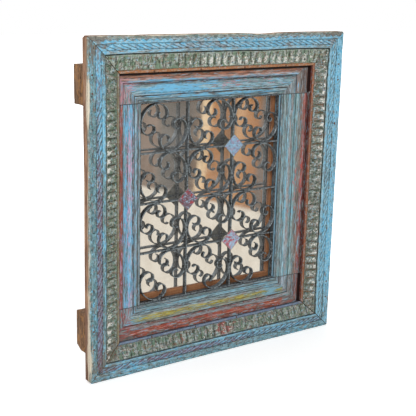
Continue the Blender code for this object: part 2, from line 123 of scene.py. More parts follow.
def add_piece(name, parts, materials, stands_for=(), angle=50):
    """One object from grids of points. A part is a dict with loops, an array (section, point, xyz)
    of closed sections that are skinned in order and capped at both ends. Its other entries are
    values for each point, kept as attributes, and slots, a material number for each column."""
    verts, faces, picks = [], [], []
    values = {}
    base = 0
    for part in parts:
        rows, cols = part["loops"].shape[:2]
        i, j = np.meshgrid(np.arange(rows - 1), np.arange(cols), indexing="ij")
        k = (j + 1) % cols
        corners = np.stack([i * cols + j, i * cols + k, (i + 1) * cols + k, (i + 1) * cols + j], -1)
        first = np.arange(cols)
        faces += (base + corners.reshape(-1, 4)).tolist()
        faces += [(base + first[::-1]).tolist(), (base + (rows - 1) * cols + first).tolist()]
        slots = np.broadcast_to(part.get("slots", np.zeros(cols)), (rows - 1, cols))
        picks += slots.ravel().astype(int).tolist() + [part.get("cap", 0)] * 2
        verts.append(part["loops"].reshape(-1, 3))
        for key in part:
            if key not in ("loops", "slots", "cap"):
                values.setdefault(key, []).append(part[key].reshape(rows * cols, -1))
        base += rows * cols
    mesh = bpy.data.meshes.new(name)
    mesh.from_pydata(np.concatenate(verts), [], faces)
    mesh.polygons.foreach_set("material_index", np.array(picks, np.int32))
    for key, found in values.items():
        kind = "FLOAT_VECTOR" if found[0].shape[1] == 3 else "FLOAT"
        layer = mesh.attributes.new(key, kind, "POINT")
        layer.data.foreach_set("vector" if kind == "FLOAT_VECTOR" else "value",
                               np.concatenate(found).astype(np.float32).ravel())
    work = bmesh.new()
    work.from_mesh(mesh)
    bmesh.ops.remove_doubles(work, verts=work.verts, dist=0.000002)
    bmesh.ops.recalc_face_normals(work, faces=work.faces)
    work.to_mesh(mesh)
    work.free()
    mesh.shade_smooth()
    mesh.set_sharp_from_angle(angle=math.radians(angle))
    for material in materials:
        mesh.materials.append(material)
    piece = bpy.data.objects.new(name, mesh)
    bpy.context.scene.collection.objects.link(piece)
    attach(piece, "root")
    if stands_for:
        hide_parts(*stands_for)
    return piece


# Shader nodes. A Value is what a node puts out, so masks are written as plain sums and products,
# and a new node goes to the tree that its inputs come from.

def arithmetic(operation, flip=False):
    """A sum or product of two values, made as a Math node."""
    def made(self, other):
        pair = (other, self) if flip else (self, other)
        return node("Math", dict(enumerate(pair)), operation=operation)
    return made


class Value:
    """An output of a shader node."""
    __add__ = __radd__ = arithmetic("ADD")
    __sub__ = arithmetic("SUBTRACT")
    __rsub__ = arithmetic("SUBTRACT", flip=True)
    __mul__ = __rmul__ = arithmetic("MULTIPLY")
    __truediv__ = arithmetic("DIVIDE")

    def __init__(self, socket):
        self.socket = socket
        self.tree = socket.id_data


def paint(red, green, blue):
    """A colour as it looks, 0 to 255, turned into light values."""
    made = []
    for value in (red / 255, green / 255, blue / 255):
        made.append(value / 12.92 if value <= 0.04045 else ((value + 0.055) / 1.055) ** 2.4)
    return (*made, 1.0)


def connect(socket, value):
    """Link a value to a socket, or set the socket. A colour is given as it looks, 0 to 255."""
    if isinstance(value, Value):
        value.tree.links.new(value.socket, socket)
    else:
        socket.default_value = paint(*value) if socket.type == "RGBA" else value


def node(kind, inputs, out=0, tree=None, **settings):
    """Add a node, set its properties, connect its inputs and give one of its outputs."""
    tree = tree or next(value.tree for value in inputs.values() if isinstance(value, Value))
    made = tree.nodes.new("ShaderNode" + kind)
    for key, value in settings.items():
        setattr(made, key, value)
    for key, value in inputs.items():
        connect(made.inputs[key], value)
    return Value(made.outputs[out])


def parts_of(vector):
    """The x, y and z of a vector."""
    return [Value(socket) for socket in node("SeparateXYZ", {0: vector}).socket.node.outputs]


def moved(vector, offset):
    return node("VectorMath", {0: vector, 1: offset}, operation="ADD")


def scaled(vector, factors):
    return node("VectorMath", {0: vector, 1: factors}, operation="MULTIPLY")


def larger(first, second):
    return node("Math", {0: first, 1: second}, operation="MAXIMUM")


def laid(share, below, above, blend="MIX"):
    """One colour laid over another by a mask."""
    return node("Mix", {0: share, 6: below, 7: above}, 2, data_type="RGBA", blend_type=blend)


def coated(colour, *coats):
    """Coats laid over a colour from the lowest up, each given as (mask, colour)."""
    for mask, coat in coats:
        colour = laid(mask, colour, coat)
    return colour


def ranged(value, low, high, to_low=0.0, to_high=1.0):
    """Value spread from low..high to to_low..to_high, with a smooth start and end."""
    return node("MapRange", {0: value, 1: low, 2: high, 3: to_low, 4: to_high},
                interpolation_type="SMOOTHSTEP")


def cloud(vector, sizes, detail=3.0, roughness=0.55, distortion=0.0):
    """Noise whose lumps are as long as sizes, in metres, along each axis."""
    return node("TexNoise", {
        "Vector": scaled(vector, tuple(1 / size for size in sizes)), "Scale": 1.0, "Detail": detail,
        "Roughness": roughness, "Distortion": distortion}, "Fac")


def bands(value, stops):
    """Colour by distance: stops are (distance in mm, colour), from the nearest outwards."""
    low, high = stops[0][0], stops[-1][0]
    share = node("MapRange", {0: value, 1: low * 0.001, 2: high * 0.001})
    ramp = node("ValToRGB", {0: share})
    elements = ramp.socket.node.color_ramp.elements
    for place, colour in stops[1:-1]:
        elements.new((place - low) / (high - low)).color = paint(*colour)
    elements[0].color = paint(*stops[0][1])
    elements[-1].color = paint(*stops[-1][1])
    return ramp


def streaks(colour, vector, within, rows):
    """Patches laid over a colour. A row has the place of its cloud, the sizes of its lumps, the
    level above which it shows, its share and its colour. Gives the last patches too."""
    for place, sizes, level, share, over in rows:
        found = ranged(cloud(moved(vector, place), sizes, 3.0, 0.6), level, level + 0.08)
        found = found * share * within
        colour = laid(found, colour, over)
    return colour, found


def new_group(name, inputs, outputs):
    """An effect that several materials share. Gives it, its inputs and what its outputs take."""
    tree = bpy.data.node_groups.new(name, "ShaderNodeTree")
    for label, kind, value in inputs:
        socket = tree.interface.new_socket(label, in_out="INPUT", socket_type="NodeSocket" + kind)
        if value is not None:
            socket.default_value = paint(*value) if kind == "Color" else value
    for label, kind in outputs:
        tree.interface.new_socket(label, in_out="OUTPUT", socket_type="NodeSocket" + kind)
    given = {socket.name: Value(socket) for socket in tree.nodes.new("NodeGroupInput").outputs}
    return tree, given, tree.nodes.new("NodeGroupOutput").inputs


def use(group, **inputs):
    """Place a shared effect and give its outputs by name. An underscore stands for a space."""
    inputs = {key.replace("_", " "): value for key, value in inputs.items()}
    first = node("Group", inputs, node_tree=group)
    return {socket.name: Value(socket) for socket in first.socket.node.outputs}


def new_material(name):
    """An empty material and its shader tree."""
    made = bpy.data.materials.new(name)
    made.use_nodes = True
    return made, made.node_tree


def finish(tree, colour, relief=None, **values):
    """Connect a material's Principled shader. Relief is a height of 0 to 1 and its depth in
    metres. An underscore in a name stands for a space."""
    shader = tree.nodes["Principled BSDF"].inputs
    if relief:
        values["Normal"] = node("Bump", {"Height": relief[0], "Distance": relief[1]})
    for key, value in {"Base Color": colour, **values}.items():
        connect(shader[key.replace("_", " ")], value)


def place_in(tree):
    """Where a point lies in the object, in metres."""
    return node("TexCoord", {}, "Object", tree)


def attribute(tree, name, out="Fac"):
    """What the points of the mesh carry under a name. The vector "lie" is where a point lies in its
    board: along the grain, across it and in from the face, in metres."""
    return node("Attribute", {}, out, tree, attribute_name=name)


# flakes: what is left of a coat of paint, as a mask with ragged edges
flakes, given, result = new_group("flakes", [
    ("Vector", "Vector", None), ("Long", "Float", 0.02), ("Wide", "Float", 0.006),
    ("Left", "Float", 0.5), ("Edge", "Float", 0.03)], [("Mask", "Float")])
sizes = node("CombineXYZ", {0: given["Long"], 1: given["Wide"], 2: given["Wide"]})
spread = node("VectorMath", {0: given["Vector"], 1: sizes}, operation="DIVIDE")
ragged = node("TexNoise", {"Vector": spread, "Scale": 1.0, "Detail": 6.0, "Roughness": 0.62}, "Fac")
limit = given["Left"] * -0.42 + 0.71
connect(result["Mask"], ranged(ragged, limit - given["Edge"], limit + given["Edge"]))

# old_wood: grey-brown weathered grain with fine pores and drying cracks
old_wood, given, result = new_group("old_wood", [
    ("Vector", "Vector", None), ("Pale", "Color", (160, 130, 104)), ("Dark", "Color", (84, 62, 46))],
    [("Color", "Color"), ("Height", "Float")])
ring = cloud(given["Vector"], (0.11, 0.0050, 0.0050), 4.0, 0.6, 0.6)
pore = cloud(given["Vector"], (0.016, 0.0009, 0.0009), 2.0)
blotch = cloud(given["Vector"], (0.07, 0.03, 0.03))
split = cloud(given["Vector"], (0.16, 0.007, 0.02), 2.0, 0.4, 0.3)
crack = ranged(node("Math", {0: split - 0.5}, operation="ABSOLUTE"), 0.0, 0.012)
connect(result["Color"], coated(
    given["Dark"], (ranged(ring, 0.34, 0.64), given["Pale"]),
    (ranged(pore, 0.50, 0.72, 0.0, 0.45), given["Dark"]),
    (ranged(blotch, 0.45, 0.75, 0.0, 0.5), (98, 84, 72)),
    (ranged(crack, 0.0, 1.0, 0.65, 0.0), (34, 26, 21))))
connect(result["Height"], crack * (ring * 0.6 + pore * 0.4))

# hand_wear: dirt lies in the hollows and hands have rubbed the ridges pale
hand_wear, given, result = new_group("hand_wear", [
    ("Color", "Color", None), ("Relief", "Float", 0.0), ("Vector", "Vector", None),
    ("Dirt", "Color", (44, 40, 35)), ("Rubbed", "Color", (176, 172, 158)),
    ("Dirt share", "Float", 0.8), ("Rub share", "Float", 0.5)], [("Color", "Color")])
patchy = cloud(given["Vector"], (0.012, 0.007, 0.007), 5.0, 0.65)
low = ranged(given["Relief"] - patchy * 0.3, -0.12, -0.75)
high = ranged(given["Relief"] + patchy * 0.9, 0.62, 1.15)
connect(result["Color"], coated(
    given["Color"], (high * given["Rub share"], given["Rubbed"]),
    (low * given["Dirt share"], given["Dirt"])))

# aged_coat: grain and brush marks showing through a coat, with scuffs, cracks and old stains
aged_coat, given, result = new_group("aged_coat", [
    ("Vector", "Vector", None), ("Color", "Color", None), ("Scuff", "Color", (178, 190, 190)),
    ("Stain", "Color", (146, 112, 104)), ("Strength", "Float", 1.0)],
    [("Color", "Color"), ("Height", "Float")])
broad = cloud(given["Vector"], (0.10, 0.0046, 0.0046), 4.0, 0.60)
fine = cloud(given["Vector"], (0.030, 0.0014, 0.0014), 3.0, 0.6)
mottle = cloud(given["Vector"], (0.013, 0.0070, 0.0070), 3.0, 0.6)
level = ranged(broad * 0.9 + fine * 0.5 + mottle * 1.1, 1.0, 1.5, -0.46, 0.46)
level = level * given["Strength"] + 1.04
shade = node("CombineXYZ", {0: level, 1: level, 2: level})
tone = laid(1.0, given["Color"], shade, "MULTIPLY")
tone, cracks = streaks(tone, given["Vector"], given["Strength"], (
    ((0.3, 0.18, 0.0), (0.014, 0.0075, 0.0075), 0.54, 0.55, (92, 140, 134)),
    ((0.7, 0.42, 0.0), (0.012, 0.0060, 0.0060), 0.56, 0.60, given["Stain"]),
    ((1.1, 0.66, 0.0), (0.016, 0.0050, 0.0050), 0.56, 0.66, given["Scuff"]),
    ((2.6, 1.56, 0.0), (0.011, 0.0055, 0.0055), 0.58, 0.60, (152, 208, 236)),
    ((1.9, 1.14, 0.0), (0.022, 0.0034, 0.0034), 0.58, 0.70, (50, 56, 56))))
connect(result["Color"], tone)
connect(result["Height"], fine - cracks)


def flaked(vector, long, wide, left, edge):
    """Mask of what is left of a coat, in flakes of a length and width in metres."""
    return use(flakes, Vector=vector, Long=long, Wide=wide, Left=left, Edge=edge)["Mask"]


def bare_wood(name, pale, dark, gold_and_slit_shade):
    """Unpainted old timber: backs, sides and the ends of the horns. With the last value at 1, the slit
    between the right jamb and the carved board over it is painted near black as its shade, and the
    horns have golden patches."""
    made, tree = new_material(name)
    wood = use(old_wood, Vector=attribute(tree, "lie", "Vector"), Pale=pale, Dark=dark)
    place = place_in(tree)
    x, y = parts_of(place)[:2]
    # painted shade: the slit between the right jamb and the carved board lies in the board's shadow and
    # is painted near black
    slit_shade = ranged(x, 0.353, 0.355) * ranged(x, 0.385, 0.380) * ranged(y, -0.044, -0.047)
    golden = ranged(cloud(place, (0.014, 0.014, 0.020), 4.0, 0.6), 0.52, 0.60)
    golden = golden * ranged(x, -0.425, -0.435)
    colour = coated(
        wood["Color"], (golden * (0.32 * gold_and_slit_shade), (206, 148, 84)), (slit_shade * gold_and_slit_shade, (46, 28, 25)))
    finish(tree, colour, (wood["Height"], 0.0012), Roughness=0.88, Specular_IOR_Level=0.25)
    return made


def painted_timber(name, stops, corner, sky, flush, gap_colour, scuff, shaded=0.2):
    """Painted moulding. The coats change colour from band to band, and on the corner blocks they
    are those of the timber's ends. The bright blue, the pink and the bare wood are laid over them
    as flakes that run with the grain. Higher than the opening's top by more than shaded, the
    timber is painted near black as the shade under the carved board."""
    made, tree = new_material(name)
    lie = attribute(tree, "lie", "Vector")
    wander = cloud(lie, (0.03, 0.02, 0.02)) * 0.008 - 0.004
    jitter = cloud(lie, (0.008, 0.004, 0.004), 4.0) * 0.005 - 0.0025
    across = parts_of(lie)[1] + wander + jitter
    coat = bands(across, stops)
    if corner:
        coat = laid(attribute(tree, "turned"), coat, bands(across, corner))
    coat = use(aged_coat, Vector=scaled(lie, (0.36, 1.35, 1.35)), Color=coat, Scuff=scuff, Strength=0.9)
    fresh = flaked(lie, 0.055, 0.0046, attribute(tree, "sky"), 0.05)
    pinks = flaked(lie, 0.020, 0.0036, attribute(tree, "flush"), 0.05)
    bared = flaked(moved(lie, (0.31, 0.17, 0.0)), 0.035, 0.0026, 0.24, 0.035)
    wood = use(old_wood, Vector=lie, Pale=(142, 108, 84), Dark=(74, 52, 40))["Color"]
    # painted shade: above this height the head is painted near black, as the shade under the top board
    under_board = MIDDLE_Z + OPENING_H + shaded
    shade = ranged(parts_of(place_in(tree))[2], under_board, under_board + 0.003)
    colour = coated(coat["Color"], (fresh * 0.8, sky), (pinks * 0.8, flush), (bared * 0.8, wood),
                    (shade, (38, 26, 23)))
    worn = use(hand_wear, Color=colour, Relief=attribute(tree, "relief"), Vector=lie,
               Dirt=gap_colour, Rubbed=(184, 196, 196), Dirt_share=0.8, Rub_share=0.4)
    height = fresh * 0.35 - bared * 0.5 + coat["Height"] * 0.8
    finish(tree, worn["Color"], (height, 0.0008), Roughness=ranged(fresh, 0.0, 1.0, 0.78, 0.58),
           Specular_IOR_Level=0.35)
    return made


BLUE = (120, 156, 168)
SLATE = (84, 100, 108)
GROOVE = (66, 70, 70)
GREY = (140, 150, 154)

raw_timber = bare_wood("raw_timber", (158, 122, 92), (82, 58, 42), 1.0)

# coats by distance out from the opening in mm; negative is the timber's side in the opening
head_paint = painted_timber("head_paint", [
    (-40, SLATE), (-6, SLATE), (-1, (70, 78, 82)), (5, (78, 86, 88)), (8, BLUE), (17, (132, 164, 174)),
    (19, GROOVE), (21, GROOVE), (23, (164, 178, 182)), (28, (146, 180, 190)), (40, (138, 174, 186)),
    (51, (144, 168, 176)), (54, GROOVE), (57, GROOVE), (59, (132, 172, 196)), (63, (140, 174, 194)),
    (65.5, (182, 158, 152)), (69, (176, 128, 110)), (74, (164, 112, 88)), (82, (152, 100, 76)),
    (100, (134, 88, 66))], [
    (-40, SLATE), (-2, SLATE), (5, (116, 120, 120)), (9, (142, 146, 148)), (17, GREY),
    (20, (104, 110, 112)), (27, (140, 146, 150)), (50, (134, 148, 152)), (57, (112, 110, 112)),
    (60, (146, 128, 126)), (66, (142, 126, 120)), (72, (128, 116, 112)), (84, (124, 108, 102)),
    (100, (116, 90, 80))],
    (110, 194, 236), (204, 146, 156), (52, 54, 52), (186, 198, 200), 0.0780)
sill_paint = painted_timber("sill_paint", [
    (-40, (66, 74, 82)), (-4, (84, 92, 98)), (0, (94, 102, 106)), (7, (100, 112, 118)),
    (10, (126, 156, 164)), (15, (126, 158, 166)), (17, (146, 174, 184)), (21, (146, 174, 184)),
    (23, GROOVE), (25, (146, 160, 162)), (31, (146, 160, 162)), (35, (158, 148, 84)),
    (46, (166, 154, 68)), (50, (158, 162, 140)), (57, (164, 170, 156)), (59, (84, 50, 46)),
    (62, (112, 80, 74)), (64, (142, 142, 146)), (70, (142, 134, 136)), (73, (158, 88, 70)),
    (82, (166, 88, 68)), (84, (190, 138, 122)), (86, (156, 86, 70)), (100, (140, 78, 64))], [
    (-40, SLATE), (-2, SLATE), (6, (112, 118, 120)), (10, (134, 140, 146)), (18, (138, 142, 146)),
    (22, GROOVE), (28, (160, 172, 184)), (44, (150, 162, 172)), (52, (134, 146, 150)),
    (58, (138, 140, 142)), (64, (136, 136, 138)), (72, (136, 128, 126)), (80, (126, 112, 112)),
    (86, (142, 100, 94)), (100, (130, 82, 76))],
    (124, 186, 214), (166, 66, 56), (50, 46, 46), (164, 192, 198))
left_paint = painted_timber("left_jamb_paint", [
    (-40, SLATE), (-4, SLATE), (2, (122, 148, 160)), (7, (100, 104, 104)), (11, (100, 104, 104)),
    (13, (136, 168, 184)), (20, (136, 168, 184)), (22.5, (76, 74, 72)), (26, (102, 104, 106)),
    (28, (170, 188, 202)), (35, (162, 194, 214)), (42, (152, 164, 182)), (45, (82, 90, 86)),
    (48, (122, 160, 178)), (56, (122, 160, 176)), (59, (104, 80, 76)), (62, (158, 88, 78)),
    (72, (154, 82, 72)), (78, (116, 86, 76)), (100, (96, 74, 64))], (),
    (116, 192, 232), (206, 160, 192), (56, 54, 52), (180, 196, 204))
# on the right jamb, from 98 mm out, the ledge under the carved board is painted ever darker as its
# shade
right_paint = painted_timber("right_jamb_paint", [
    (-40, (60, 72, 84)), (-5, (70, 86, 96)), (-1, (84, 98, 106)), (5, (94, 102, 106)),
    (8, (110, 122, 124)), (11, (142, 166, 172)), (20, (140, 160, 162)), (23, (122, 140, 144)),
    (28, (150, 184, 196)), (33, (154, 190, 204)), (37, (156, 154, 154)), (44, (152, 148, 150)),
    (50, (138, 170, 174)), (62, (130, 162, 166)), (68, (144, 148, 146)), (74, (128, 122, 116)),
    (82, (136, 112, 102)), (88, (160, 104, 94)), (94, (164, 92, 84)), (98, (132, 56, 52)),
    (102, (110, 48, 42)), (110, (84, 38, 34)), (120, (60, 32, 28))], (),
    (124, 190, 214), (206, 84, 76), (58, 60, 60), (180, 198, 198))

# the moulding: (distance out from the opening, depth below the timber's face) in mm
MOULDING = np.array([
    (0.0, 6.9), (0.5, 5.2), (1.9, 3.7), (6.4, 3.5), (7.3, 4.2), (8.3, 6.0), (9.4, 4.2), (10.9, 3.1),
    (14.5, 2.5), (18.6, 2.9), (19.4, 3.8), (20.5, 5.6), (21.6, 3.6), (23.7, 2.4), (27.5, 3.6),
    (30.0, 2.7), (38.4, 1.7), (47.0, 2.0), (51.2, 2.9), (54.6, 3.3), (56.4, 4.3), (58.2, 6.0),
    (59.8, 2.2), (61.4, 0.8), (64.0, 0.3), (70.5, 0.2), (71.6, 1.0), (72.7, 0.3), (98.0, 0.3)])
MOULDING_FINE = np.linspace(0, TIMBER, 800)
MOULDING_DEEP = np.interp(MOULDING_FINE, MOULDING[:, 0] * 0.001, MOULDING[:, 1] * 0.001)
MOULDING_DEEP = np.convolve(np.pad(MOULDING_DEEP, 4, mode="edge"), np.ones(9) / 9, "valid")
MOULDING_DEEP[:5] += np.linspace(0.0015, 0, 5)

# where the columns of a timber's grid lie: face, then outer side, back, rebate and opening side
FACE_COLUMNS = np.unique(np.concatenate([
    np.array([0.0, 0.3, 0.8, 1.5, 2.5, 4.0, 6.0]), np.arange(7.0, 12.0, 0.7),
    np.arange(12.0, 19.0, 1.3), np.arange(19.0, 24.5, 0.7), np.arange(25.0, 54.0, 1.3),
    np.arange(54.5, 64.5, 0.75), np.arange(65.0, 98.0, 1.7), np.array([98.0])])) * 0.001
BACK_COLUMNS = np.array([0.0975, 0.090, 0.080, 0.0693, 0.0692, 0.055, 0.035, 0.0152])


def timber_grid(run, seed, ledge=0.0):
    """Depths of a timber's points. run (n, 1) is the distance along it. Gives for each column how
    far it is out from the opening and its y, with worn relief and grain, and the attributes."""
    rows = run.shape[0]
    out = np.broadcast_to(FACE_COLUMNS, (rows, FACE_COLUMNS.size))
    deep = np.interp(out, MOULDING_FINE, MOULDING_DEEP)
    worn = bumps(0.00035, run, out, 0.06, seed) * (0.5 + 0.5 * (out < 0.092))
    grain = bumps(0.00022, run * 0.035, out, 0.0026, seed + 1)
    grain = grain + bumps(0.00016, run * 0.08, out, 0.0011, seed + 2)
    dents = 0.0005 * eased(waves(run * 0.6, out, 0.017, seed + 3), 0.75, 1.0)
    split = np.abs(out - 0.030 - 0.012 * waves(run, 0 * out, 0.3, seed + 4))
    crack = 0.0014 * eased(split, 0.0011, 0.0) * eased(waves(run, 0 * out, 0.22, seed + 5), 0.2, 0.5)
    deep = deep + worn + grain + dents + crack
    face_y = FRAME_FACE + deep
    rough = bumps(0.00045, run, out[:, :1], 0.035, seed + 6)
    # the other sides of the section, all a little inside the saw-cut planes
    outer_y = np.concatenate([
        face_y[:, -1:] + 0.0005, np.broadcast_to(
            (LEDGE_FACE - 0.0002, LEDGE_FACE + 0.0002, -0.034, -0.017, -0.0009), (rows, 5))], 1)
    outer_d = np.full(outer_y.shape, TIMBER - 0.0003) + ledge * (np.arange(6) > 1)
    back_d = np.broadcast_to(BACK_COLUMNS, (rows, BACK_COLUMNS.size))
    back_d = back_d + ledge * (np.arange(BACK_COLUMNS.size) == 0)
    back_y = -0.0004 - bumps(0.0005, run, back_d, 0.025, seed + 7)
    rebate_y = np.broadcast_to(np.array([-0.0012, -0.008, -0.0157]), (rows, 3))
    rebate_d = np.full(rebate_y.shape, REBATE)
    lip_share = np.array([0.0, 0.5, 1.0, 0.98, 0.9, 0.75, 0.6, 0.45, 0.3, 0.15, 0.06, 0.02])
    lip_d = np.where(np.arange(12) < 3, REBATE * (1 - np.array([0.02, 0.5, 0.98] + [1.0] * 9)), 0.0)
    lip_d = lip_d + rough * eased(np.arange(12), 2, 5) * 0.6
    lip_y = face_y[:, :1] + (SHOULDER - face_y[:, :1]) * lip_share
    lip_y = np.where(np.arange(12) < 3, SHOULDER, lip_y)
    distance = np.concatenate([out, outer_d, back_d, rebate_d, lip_d], 1)
    y = np.concatenate([face_y, outer_y, back_y, rebate_y, lip_y], 1)
    across = np.concatenate([
        out, outer_d, back_d, rebate_d, np.where(np.arange(12) < 3, -0.038, face_y[:, :1] - lip_y)], 1)
    relief = np.zeros(y.shape)
    relief[:, :out.shape[1]] = relief_of(-deep)
    relief[:, -6:] = -0.10
    slots = np.zeros(y.shape[1])
    slots[out.shape[1] + (2 if ledge else 0):-10] = 1
    return distance, y, across, relief, slots


def sky_patches(along, across, level, patches):
    """How much bright paint is left: a level, with soft patches (along, across, long, wide, more)."""
    total = np.full(np.broadcast(along, across).shape, float(level))
    for at_long, at_wide, long, wide, more in patches:
        total += more * np.exp(-((along - at_long) / long) ** 2 - ((across - at_wide) / wide) ** 2)
    return np.clip(total, 0, 1)


def horn(side, end, trim, far, chamfer, seed):
    """The end of a head or sill that runs on past the jamb: a worn block with cracked end grain.
    Sections (y, z) lie along x, and shrink over the end to close it. Trim is the distance from
    the joint to the horn's side towards the opening; below 0 it stands up clear of the jamb."""
    start = OPENING_W + TIMBER
    x = np.concatenate([
        [start - 0.006, start + 0.0003], np.linspace(start + 0.0004, HORN_END - 0.0012, 24),
        HORN_END - np.array([0.0004, 0.0001, 0.0001, 0.0003, 0.0001, 0.0004])])[:, None]
    shrink = np.concatenate([np.ones(26), [0.988, 0.94, 0.75, 0.5, 0.28, 0.08]])[:, None]
    near = OPENING_H + np.where(x < start + 0.0004, max(trim, 0), trim)
    front = np.where((side > 0) & (x < start + LEDGE_WIDTH), LEDGE_FACE, FRAME_FACE)
    cut = HORN_CHAMFER if chamfer else 0.0005
    shares = np.array([(0, 0), (0, 1), (1, 1), (1, 1), (1, 0)], float)
    at = np.linspace(0, 5, HORN_POINTS, endpoint=False)
    whole = at.astype(int)
    part = at - whole
    share = shares[whole] * (1 - part[:, None]) + shares[(whole + 1) % 5] * part[:, None]
    y = front * (1 - share[:, 0]) - cut * (whole == 2) * (1 - part) - cut * (whole == 1) * part
    z = near + (far - near) * share[:, 1]
    z = z - cut * 0.5 * ((whole == 2) * part + (whole == 3) * (1 - part))
    wear = 0.004 + bumps(0.010, x, y + z, 0.035, seed)
    wear = wear + bumps(0.005, x * 0.1, y * 0.7 + z, 0.004, seed + 1)
    middle_y, middle_z = front / 2, (near + far) / 2
    y = middle_y + (y - middle_y) * shrink * (1 - wear)
    z = middle_z + (z - middle_z) * shrink * (1 - wear)
    grain = eased(waves(y, z * 0.2, 0.006, seed + 2), 0.3, 1.0) * 0.002
    face = x > HORN_END - 0.001
    x_points = np.where(face, x - grain, x)
    loops = np.stack([side * x_points, y, end * z + MIDDLE_Z], -1)
    lie = np.where(face[..., None], np.stack([z + 3, y * 1.5, x_points], -1),
                   np.stack([side * x_points, end * z, y], -1))
    plain = np.zeros(y.shape)
    return {"loops": loops, "lie": lie, "relief": plain, "sky": plain, "flush": plain, "turned": plain,
            "slots": np.ones(HORN_POINTS), "cap": 1}


def crosspiece(name, end, height, trims, chamfer, turn_at, material, seed, sky, flush, node_name):
    """Head (end 1) or sill (end -1). The section turns about the corner of the opening above each
    jamb, through the mitre, and runs across between the two mitres."""
    straight = 0.248
    level = np.arange(-straight, straight + 0.001, 0.0021)
    notches = [side * HANGER_X + offset for side in (-1, 1)
               for offset in (-HANGER_HALF - 5e-5, -HANGER_HALF, HANGER_HALF, HANGER_HALF + 5e-5)]
    level = np.unique(np.concatenate([level, notches] if end > 0 else [level]))
    fan = np.linspace(0, 1, 42)[1:]
    turn = np.linspace(0, 1, 38)[:-1]
    # a row is (side, share of the turn up the corner, share of the fan, place on the straight part)
    rows = [(-1, q, 1, 0) for q in turn] + [(-1, 1, f, 0) for f in fan[::-1]]
    rows += [(0, 1, 0, x) for x in level]
    rows += [(1, 1, f, 0) for f in fan] + [(1, q, 1, 0) for q in turn[::-1]]
    side, q, f, x_at = (np.array(column, float)[:, None] for column in zip(*rows))
    nominal = np.where(side == 0, x_at, side * (straight + f * (OPENING_W + 0.05 - straight)))
    run = nominal + side * (1 - q) * 0.09
    distance, y, across, relief, slots = timber_grid(run, seed)
    top = np.interp(distance, [0, DRAWN_TO, TIMBER], [0, DRAWN_TO, height])
    x = np.where(side == 0, x_at, side * (straight + f * (OPENING_W + distance - straight)))
    z = end * (OPENING_H + q * top)
    if end > 0:
        inside = (np.abs(np.abs(x_at) - HANGER_X) <= HANGER_HALF + 1e-6) & (side == 0)
        count = FACE_COLUMNS.size
        deep = np.zeros(y.shape, bool)
        deep[:, count + 5:count + 10] = True
        y = np.where(inside & deep, np.minimum(y, -RECESS), y)
    # the run along the grain: up the jamb's side of each mitre, across the middle
    along = np.where(q < 1, side * 0.6 + q * distance, x)
    lie = np.stack([along, across, y - FRAME_FACE], -1)
    unpainted = np.broadcast_to((slots > 0)[:, None], lie.shape)
    lie = np.where(unpainted, np.stack([x + 0 * y, z + 0 * y, y], -1), lie)
    turned = eased(np.abs(x), turn_at, turn_at + 0.012)
    if end > 0:
        turned = turned * eased(distance, 0.064, 0.058)
    parts = [{
        "loops": np.stack([x + 0 * y, y, z + MIDDLE_Z + 0 * y], -1), "lie": lie, "relief": relief,
        "sky": sky_patches(x, distance, *sky),
        "flush": sky_patches(x, distance, *flush) * np.where((q < 1) & (side > 0), 0.4, 1.0),
        "turned": np.where(q < 1, 1.0, turned), "slots": slots}]
    for which, trim in zip((-1, 1), trims):
        parts.append(horn(which, end, trim, OPENING_H + height, chamfer and which < 0,
                          seed + 20 + which))
    add_piece(name, parts, [material, raw_timber], [node_name])


def jamb(name, side, material, seed, sky, flush, node_name):
    """An upright. Its ends butt against head and sill, with a hair's gap. The right one is wider
    behind a ledge along its outer edge."""
    run = np.concatenate([
        [-0.3051, -0.3047], np.arange(-0.304, 0.3041, 0.002), [0.3047, 0.3051]])[:, None]
    distance, y, across, relief, slots = timber_grid(run, seed, LEDGE_WIDTH if side > 0 else 0.0)
    ease = 0.0006 * eased(np.abs(run), 0.3040, 0.3052)
    face = np.arange(y.shape[1]) < FACE_COLUMNS.size
    y = y + np.where(face, ease, 0)
    relief = np.where((np.abs(run) > 0.3036) & face, -0.7, relief)
    x = side * (OPENING_W + distance)
    z = run + 0 * y
    lie = np.stack([z, across, y - FRAME_FACE], -1)
    add_piece(name, [{
        "loops": np.stack([x, y, z + MIDDLE_Z], -1), "lie": lie, "relief": relief,
        "sky": sky_patches(z, distance, *sky), "flush": sky_patches(z, distance, *flush),
        "slots": slots, "cap": 1}], [material, raw_timber], [node_name])


crosspiece(
    "timber_head", 1, HEAD_HEIGHT, (0.003, 0.0), False, 0.316, head_paint, 11,
    (0.22, [(-0.16, 0.036, 0.10, 0.016, 0.55), (0.05, 0.013, 0.20, 0.005, 0.35),
            (-0.02, 0.036, 0.16, 0.018, 0.20), (0.0, 0.078, 1.0, 0.010, -0.20),
            (-0.20, 0.064, 0.10, 0.005, 0.50)]),
    (0.05, [(0.05, 0.042, 0.06, 0.014, 0.35), (0.20, 0.040, 0.10, 0.014, 0.25),
            (0.0, 0.060, 0.5, 0.004, 0.30), (-0.33, 0.070, 0.03, 0.02, 0.50),
            (-0.29, 0.045, 0.04, 0.02, 0.35)]), "frame_head")
crosspiece(
    "timber_sill", -1, SILL_HEIGHT, (-0.009, 0.0), True, 0.288, sill_paint, 31,
    (0.10, [(0.0, 0.012, 0.5, 0.008, 0.30), (0.250, 0.038, 0.035, 0.018, 0.70),
            (-0.27, 0.05, 0.06, 0.03, 0.35), (0.0, 0.054, 0.5, 0.004, 0.25)]),
    (0.06, [(-0.13, 0.028, 0.05, 0.006, 0.3), (0.0, 0.060, 0.5, 0.003, 0.3),
            (0.03, 0.078, 0.16, 0.006, 0.45), (-0.20, 0.078, 0.09, 0.010, 0.35),
            (-0.31, 0.060, 0.05, 0.040, 0.40)]), "frame_sill")
